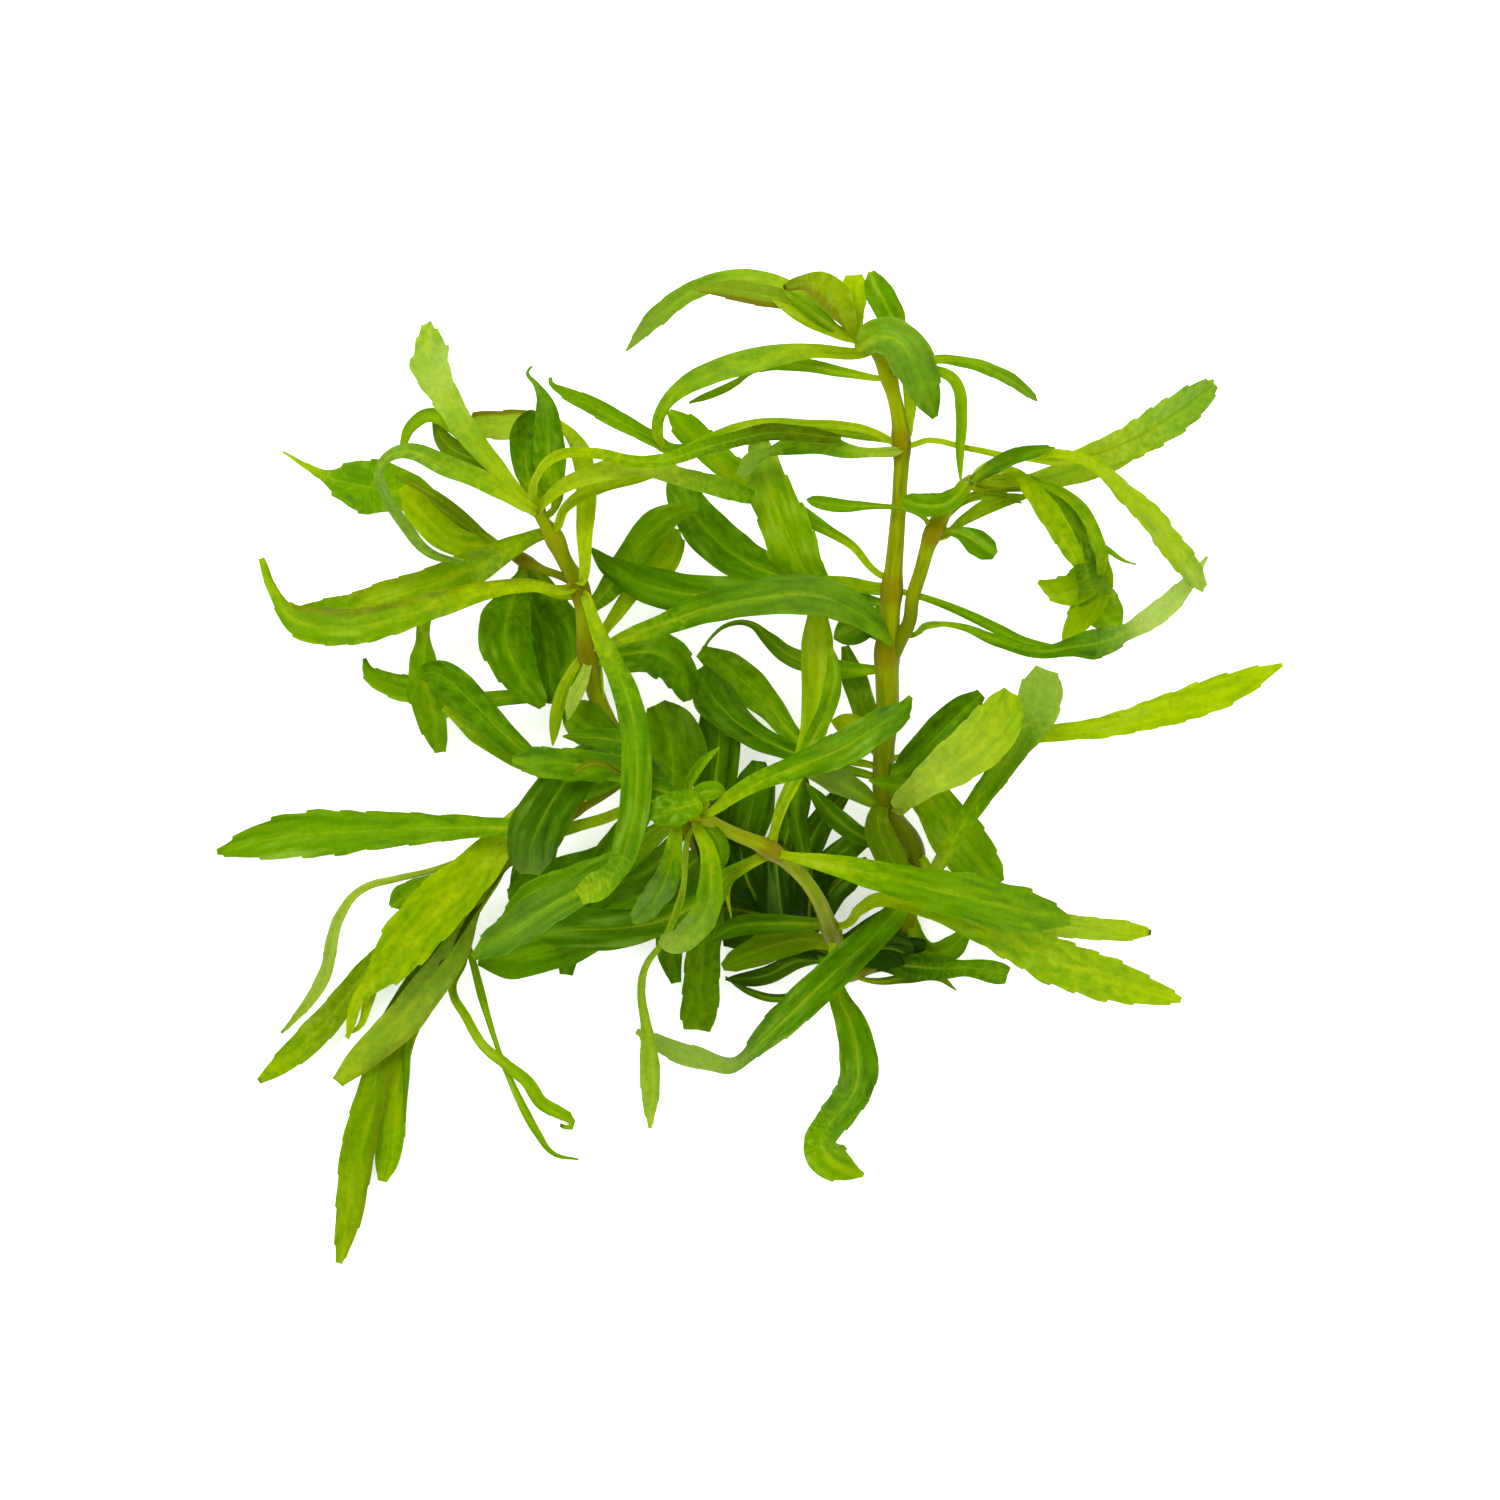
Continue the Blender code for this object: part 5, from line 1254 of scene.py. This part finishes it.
footLeaves = {
    "leaf_foot_diagonal": dict(
        tone=(0.3, 0.26, 0.26, 0.28, 0.3, 0.6, 0.6), folded=True, teeth=1,
        wash=(0, 0, 0, 0, 0.05, 0.5, 0.5),
        cut="0 1.4, 0.15 3, 0.3 5.2, 0.45 5.6, 0.58 4.8, 0.67 2.6, 0.72 1.8, 0.8 3.8, 0.88 4.8, 0.95 3.4, "
            "1 0.8",
        route="25.2 -16.6 13.2, 26.2 -18.4 18.4, 24.6 -21.4 23, 20.4 -26.4 26, 15 -31.4 27, 8 -38 24.6, "
              "2.4 -43.4 20, -1.2 -46.8 14.4, -3.6 -47.4 10.6, -6.6 -46.8 8.4, -12 -45.2 8, -18.2 -42.2 8"),
    "leaf_foot_hanging": dict(
        tone=(0.5, 0.36, 0.34, 0.32, 0.36, 0.62, 0.62), teeth=1, lean=(0, 15),
        cut="0 1, 0.12 2.4, 0.25 4.6, 0.38 6, 0.5 6.2, 0.6 5.8, 0.68 5.2, 0.76 4.6, 0.84 7, 0.91 5.4, "
            "0.96 3, 1 0.3",
        route="13.2 -28.4 20.2, 13.4 -33 19, 14.4 -37 19.4, 16.2 -41 19, 17.2 -46 17, 17 -51 13.4, "
              "14.8 -54.6 9.6, 12.6 -57.2 6.6, 11.4 -59.9 4.8, 12.6 -62.6 3, 15.2 -64.3 1.6, 18.2 -65.3 1"),
    "leaf_foot_short_right": dict(
        tone=(0.05, 0.15, 0.4, 0.5), slot="leaf_deep", lean=(0, 10),
        cut="0 1.2, 0.3 4.2, 0.5 3.6, 0.68 2.6, 0.86 3.8, 0.96 3.6, 1 2.6",
        route="17.2 -30.6 9.6, 24 -31.6 9.6, 30 -32.2 8.6, 36 -32.2 5.6, 41.2 -33.3 2.4"),
    "leaf_foot_narrow_hanging": dict(
        tone=(0.5, 0.5, 0.62, 0.7), slot="leaf_young", teeth=1, lean=(10, 0), wash=(0, 0, 0.1, 0.3),
        cut="0 0.8, 0.45 1, 0.6 1.4, 0.66 1.5, 0.73 2.5, 0.82 3.3, 0.91 2.8, 1 0.4",
        route="-9.6 -10.6 45.6, -10.4 -14 42, -10.6 -18.6 37, -11.8 -23 32, -14 -28 27.6, -16.5 -31.6 24, "
              "-17.3 -36 20, -16.5 -42 15.4, -16 -48 11, -16 -57.8 4"),
}
footSmall = {
    "crossing": dict(
        width=3.4, tone=0.26, stalk=0.5,
        route="13 -26.2 19.5, 12 -25.3 19, 9 -25 19, 4 -25 18, -2 -25.5 17, -7 -28 15"),
    "oliveOne": dict(
        tone=0.55, olive=0.3, cut="0 1.4, 0.3 4.4, 0.6 5, 0.9 3.4, 1 1",
        route="12.8 -28.6 13.6, 9.5 -27.6 13, 5 -28.2 13, 0 -30 12, -4.4 -32 11"),
    "darkOne": dict(width=3.0, tone=0.05, route="13.6 -31 11.5, 8 -31 9, 2 -33.5 7, -4 -34 5"),
    # The near-black blades here are painted shadow: sheets laid where the foot of the bunch lies in deep
    # shade.
    "paintedShadowOne": dict(width=7.0, tone=-0.5, route="16 -31.8 7, 18.6 -29 8.6, 21.6 -26.6 9.4, 24 -24.6 9.4"),
    "paintedShadowTwo": dict(width=4.4, tone=-0.5, route="14.8 -31.6 9, 12 -29.6 10, 8 -28.4 10, 3 -27.4 9"),
    "paintedShadowThree": dict(width=6.0, tone=-0.4, route="18 -32.4 4, 21 -30.8 6, 25.4 -30 7, 31 -30.6 6.4"),
    "paintedShadowFour": dict(width=3.6, tone=-0.3, route="13.4 -29 14, 16.4 -27.6 15, 19.4 -26 15, 22.6 -22.4 14"),
    "lowThread": dict(
        width=1.4, tone=0.2,
        route="14.6 -32.6 8.6, 10 -35 7, 5.5 -37 6, 0 -36 5, -4 -33.5 4"),
    "lowRight": dict(
        width=1.6, tone=0.3, olive=0.4,
        route="15.4 -33.2 7.6, 20 -34.2 7, 25 -33.8 6, 30 -33.6 5, 33 -35.7 4"),
    "lobeRight": dict(
        tone=0.46, cut="0 1.2, 0.4 3.4, 0.75 4, 1 1.6",
        route="25.4 -24 5.4, 28 -29.4 7, 31.6 -29.2 7.4, 35 -26 7.6"),
    "squareEnd": dict(
        tone=(0.3, 0.42, 0.55), olive=0.2, teeth=1, cut="0 1.6, 0.3 5, 0.6 5.8, 0.9 5.8, 1 4.2",
        route="-4.6 -15.2 8.4, -6.4 -21.6 11, -7 -26 11, -7.6 -31 9, -7.9 -36 6.6, -8.5 -42 3"),
    "shortEnd": dict(
        tone=0.4, cut="0 1.4, 0.4 4, 0.8 4, 1 1.6",
        route="-4.5 -15.2 8.4, -9 -20 8, -12.5 -25 7, -12.8 -30 5.5, -11.8 -34.5 4"),
    "backFan": dict(
        tone=0.36, cut="0 1.4, 0.4 6, 0.8 5.4, 1 2",
        route="-10 -10.5 9, -15 -15.5 8.5, -21 -19 8, -26 -23 7, -28.8 -28 5.5, -29.4 -33.2 3.5"),
    "fanLeft": dict(
        tone=0.4, cut="0 1.4, 0.4 6.4, 0.75 7, 1 2",
        route="-11.6 -8 10.6, -17 -12 11, -23.6 -15.6 10, -30 -18 9, -38.6 -20.6 7"),
    "fanUp": dict(
        tone=0.44, teeth=1, cut="0 1.4, 0.4 4.6, 0.75 5, 1 1.2",
        route="-14.6 -4.4 12.8, -18.6 -9 13, -22 -13.6 12, -25.6 -19 10"),
    "fanDeep": dict(
        tone=0.22, cut="0 1.4, 0.4 6.4, 0.75 7, 1 2",
        route="-7.4 -12.6 9.4, -10 -16 10, -14 -20.6 9.4, -18.6 -25.6 8"),
    # painted shadow at the foot, like the near-black blades above
    "paintedShadowFive": dict(width=7.0, tone=-0.5, route="14.6 -31 10, 18 -29.6 11, 22 -29 10.6, 26.4 -30.4 9"),
}
growWhorl("foot", footLeaves)
growSmall("foot_small_leaves", "leaf_deep", footSmall)


# Leaves of the low left shoot

lowLeft = {
    "leaf_low_left_level": dict(
        tone=(0.6, 0.6, 0.5, 0.46, 0.46), teeth=2, lean=(0, 8),
        cut="0 1, 0.24 2, 0.37 3.1, 0.47 3.8, 0.57 4.8, 0.66 6, 0.78 7.5, 0.87 6.8, 0.94 4.4, 1 0.5",
        route="-14.6 -4.2 14.4, -17.6 -5.8 20.4, -21 -7.2 25.8, -26 -9 28, -31 -10 27.4, -38 -9.6 25, "
              "-45 -9.6 22, -55 -9.9 16, -65 -10.4 9.6, -75 -11.3 4.6, -85.3 -13.6 0.8"),
    "leaf_low_left_broad": dict(
        tone=(0.7, 0.72, 0.78, 0.72, 0.8), slot="leaf_young", teeth=1, lean=(0, 20),
        cut="0 1.4, 0.15 3, 0.27 5.2, 0.4 7.4, 0.51 8.8, 0.64 8.6, 0.73 6.8, 0.8 3.6, 0.86 2.2, 0.95 1.8, "
            "1 0.4",
        route="-27.2 -5 14.6, -31 -4.8 16.8, -35.4 -7.2 18.4, -40 -12.2 19, -45.4 -17.8 18.8, "
              "-50 -22.6 17.6, -55 -28 15.4, -59 -33 13, -62.6 -37 10.6, -64.4 -43.4 8"),
    "leaf_low_left_olive": dict(
        tone=(0.5, 0.66, 0.75, 0.8), olive=0.15, slot="leaf_olive", lean=(0, -12), wash=(0, 0.2, 0.1),
        rust=0.3, cut="0 1.2, 0.25 3.4, 0.5 5.8, 0.72 6, 0.9 4.2, 1 2",
        route="-38.8 -15.4 11.4, -42.8 -19.4 12, -45 -24 12, -46.6 -28.2 11.6, -52.2 -36.2 9.2, "
              "-58.2 -43 7, -62.6 -47 5.6, -66 -50.4 4"),
    "leaf_low_left_bottom": dict(
        tone=(0.5, 0.55, 0.6, 0.66), olive=0.25, slot="leaf_young", teeth=1, lean=(0, 8), rust=0.3,
        cut="0 1.2, 0.3 3, 0.5 4.2, 0.62 5, 0.75 5.6, 0.88 4.6, 0.95 3, 1 0.8",
        route="-38.6 -14.6 9.4, -42.6 -18.6 7.8, -45.6 -24 6.6, -48.6 -30 5, -53 -36.8 4, -56 -41 3.4, "
              "-58.8 -46 3.4, -60.4 -52 3.2, -62 -58 3, -63.4 -66 2.4, -64.2 -72 1.8, -65.8 -79.4 1.2"),
    "leaf_low_left_brown_tip": dict(
        tone=(0.6, 0.7, 0.5, 0.7), slot="leaf_young", olive=(0, 0, 0.5, 0.1), teeth=1, brown=1.0,
        lean=(0, 12), cut="0 1, 0.3 2, 0.5 3.6, 0.68 4.4, 0.8 4.8, 0.9 3.8, 0.97 2, 1 0.7",
        route="-38.2 -12.8 11, -45 -18.4 10.4, -53 -25.4 8, -60.4 -31.6 5.6, -65.6 -38 4.6, -70 -43 3.4, "
              "-74.6 -47.2 2, -78.6 -50.3 1"),
    "leaf_low_left_thin_arch": dict(
        tone=0.72, olive=0.35, slot="leaf_olive", teeth=1, lean=(10, -20), brown=0.4,
        wash=(0, 0.3, 0.6, 0.3), cut="0 0.8, 0.3 1, 0.5 1.4, 0.68 2, 0.82 2.1, 0.92 1.3, 1 0.3",
        route="-38 -11.8 12.6, -44 -14 13.4, -51 -16.6 13.4, -57 -18 14.2, -61.8 -19.4 14, -65 -22.6 12.6, "
              "-66.8 -27 10, -68 -33 7, -71 -38 4, -75 -42.6 1.2"),
    "leaf_low_left_thin_curl": dict(
        tone=0.62, teeth=1, lean=(10, 10), brown=1.0,
        cut="0 0.8, 0.4 1.2, 0.6 1.6, 0.8 2.2, 0.9 2.2, 0.95 1.2, 1 0.5",
        route="-39 -15.8 8, -43.4 -19.8 5.2, -45.2 -25 3.8, -45.8 -31 4.2, -47.6 -35.6 4.8, -45.4 -40 5.2, "
              "-42.8 -44.4 5, -39 -47.6 4.6, -35.8 -50.2 4, -33.4 -53.6 3, -30.4 -55.4 2, -28.6 -56.6 1.6, "
              "-28.6 -57.6 1.5, -30.4 -57.3 1.5"),
    "leaf_low_left_dark_back": dict(
        width=6.8, tone=0.3, slot="leaf_deep", belly=0.68, tip=0.5,
        route="-5.6 -17.6 11, -7.6 -20.8 16.4, -10.8 -23.2 19.6, -16 -25 20, -22 -25.8 18.6, -28 -26 16.6, "
              "-34 -26.6 13"),
    "leaf_low_left_olive_back": dict(
        tone=0.42, slot="leaf_olive", cut="0 1.4, 0.3 4.6, 0.6 7, 0.85 6.8, 1 2.6",
        route="-8.4 -16 8.4, -14 -20.2 9, -22 -25 9, -28 -28 8.6, -34 -29.6 7, -39 -30.6 5, -43.4 -30.4 2"),
}
lowLeftSmall = {
    "overEdge": dict(
        tone=0.52, teeth=2, cut="0 0.8, 0.6 1.4, 0.74 3, 0.87 4.4, 0.95 2.6, 1 0.4",
        route="-37.4 -13.2 11.5, -44 -15.2 11, -49 -17 12, -52.4 -18.8 13, -55.2 -20.6 12.5, "
              "-57.6 -22.2 11"),
    "ribbon": dict(
        width=2.2, tone=0.8, stalk=0.6,
        route="-37.2 -13.6 11, -45 -20 12, -53 -28 12, -59.8 -34 11, -61.2 -38 9.5, -62.4 -41.4 8, "
              "-64.8 -43 7"),
    "sliver": dict(
        width=1.4, tone=0.4,
        route="-38.8 -15.6 9.4, -45.4 -26 8, -51 -37 6, -54.4 -43 4, -55 -50 3, -55.2 -57 2.4"),
    "shadeStrip": dict(
        width=3.2, tone=0.1, olive=0.3,
        route="-38 -14.6 10.6, -44.6 -22.4 12, -50 -29.6 11, -55 -36 9, -59.6 -41.4 7"),
    "besideBottom": dict(
        tone=0.74, teeth=1, cut="0 1, 0.5 2.6, 0.7 4, 0.86 5, 0.95 3.8, 1 1.2",
        route="-40 -17 9, -48 -30 5, -54 -41 2.8, -56.4 -48 2.4, -57.4 -55 2, -57.8 -61 1.6, "
              "-58.8 -66.3 1.4"),
    "threadLeaf": dict(
        tone=0.5, cut="0 0.8, 0.4 1.2, 0.6 0.8, 0.8 1.5, 0.92 0.8, 1 0.3",
        route="-38.6 -15.4 9, -43 -20 7.4, -45.4 -27 6.5, -44.5 -30.5 6, -43 -36.5 5, -41 -43 4, "
              "-38.6 -49.5 3, -36 -55 2.5, -34 -58.6 2, -31.5 -61.8 1.6, -27.4 -62.8 1.4"),
    "shadedBack": dict(width=5.4, tone=0.3, route="-30 -8.6 12.8, -33 -13 13.4, -36 -17 13.4, -38 -20 13"),
    "backRight": dict(
        tone=0.4, cut="0 1.2, 0.4 5, 0.75 6, 1 1.6",
        route="-30.4 -9 12.4, -33.4 -14.6 12, -35.6 -19.6 11, -37 -24.6 9"),
}
growWhorl("low left", lowLeft)
growSmall("low_left_small_leaves", "leaf_fresh", lowLeftSmall)


for spare in [*blanks.values(), waveSource]:
    bpy.data.objects.remove(spare)


# Floor, light and camera

studio = {
    "floorSize": 3.0,
    "floorColour": (0.90, 0.90, 0.90),
    "floorTint": (0.80, 0.80, 0.80),
    "tintScale": 6.0,
    "tintEdge": (0.3, 0.7, 0.0, 0.02),
    "floorRough": 0.9,
    "floorSpecular": 0.1,
    "floorGlow": 0.42,                  # like a light table
    "sky": (0.15, 0.95, 1.75, 0.75),    # heights, then the surround's brightness at each
    "viewWidth": 240.0,                 # mm of the surface across the picture
    "viewMiddle": 2.72,                 # mm towards +Y from the eye's foot to the picture's middle
    "sensor": 36.0,
}
lights = {                              # metres and watts
    "keyLight": dict(place=(-0.35, 0.55, 1.1), size=0.6, power=13.0),
    "fillLight": dict(place=(0.7, -0.3, 0.6), size=0.8, power=3.0),
}


def floorSkin():
    material, tree = blankMaterial("studio_floor")
    cloud = noiseValue(tree, objectPlace(tree), studio["tintScale"])
    pale = (*studio["floorColour"], 1.0)
    colour = paint(tree, span(tree, cloud, *studio["tintEdge"]), pale, studio["floorTint"])
    inputs = {"Base Color": colour, "Roughness": studio["floorRough"],
              "Specular IOR Level": studio["floorSpecular"],
              "Emission Color": (1.0, 1.0, 1.0, 1.0), "Emission Strength": studio["floorGlow"]}
    showSurface(tree, addNode(tree, "ShaderNodeBsdfPrincipled", inputs).outputs[0])
    return material


def addLight(name, place, size, power):
    data = bpy.data.lights.new(name, "AREA")
    data.shape = "DISK"
    data.size = size
    data.energy = power
    light = addToScene(name, data)
    light.location = place
    light.rotation_euler = (-light.location).to_track_quat("-Z", "Y").to_euler()


bpy.ops.object.select_all(action="DESELECT")
bpy.ops.mesh.primitive_plane_add(size=studio["floorSize"], location=(0, 0, 0))
floor = bpy.context.object
floor.name = "studio_floor"
floor.data.materials.append(floorSkin())

world = bpy.data.worlds.new("studio")
world.use_nodes = True
sky = world.node_tree
background = sky.nodes["Background"]
background.inputs["Color"].default_value = (1, 1, 1, 1)
skyHeight = split(sky, addNode(sky, "ShaderNodeTexCoord").outputs["Generated"])[2]
feed(sky, background.inputs["Strength"], span(sky, skyHeight, *studio["sky"]))
bpy.context.scene.world = world
for name, plan in lights.items():
    addLight(name, **plan)

cameraData = bpy.data.cameras.new("fromAbove")
cameraData.sensor_width = studio["sensor"]
cameraData.lens = studio["sensor"] * bunch["eyeHeight"] / studio["viewWidth"]
camera = addToScene("fromAbove", cameraData)
middleY = bunch["shift"][1] + studio["viewMiddle"]
camera.location = (0.0, middleY * mm, (bunch["eyeHeight"] + bunch["shift"][2]) * mm)
bpy.context.scene.camera = camera
bpy.context.scene.view_settings.view_transform = "Standard"
print("studio set")
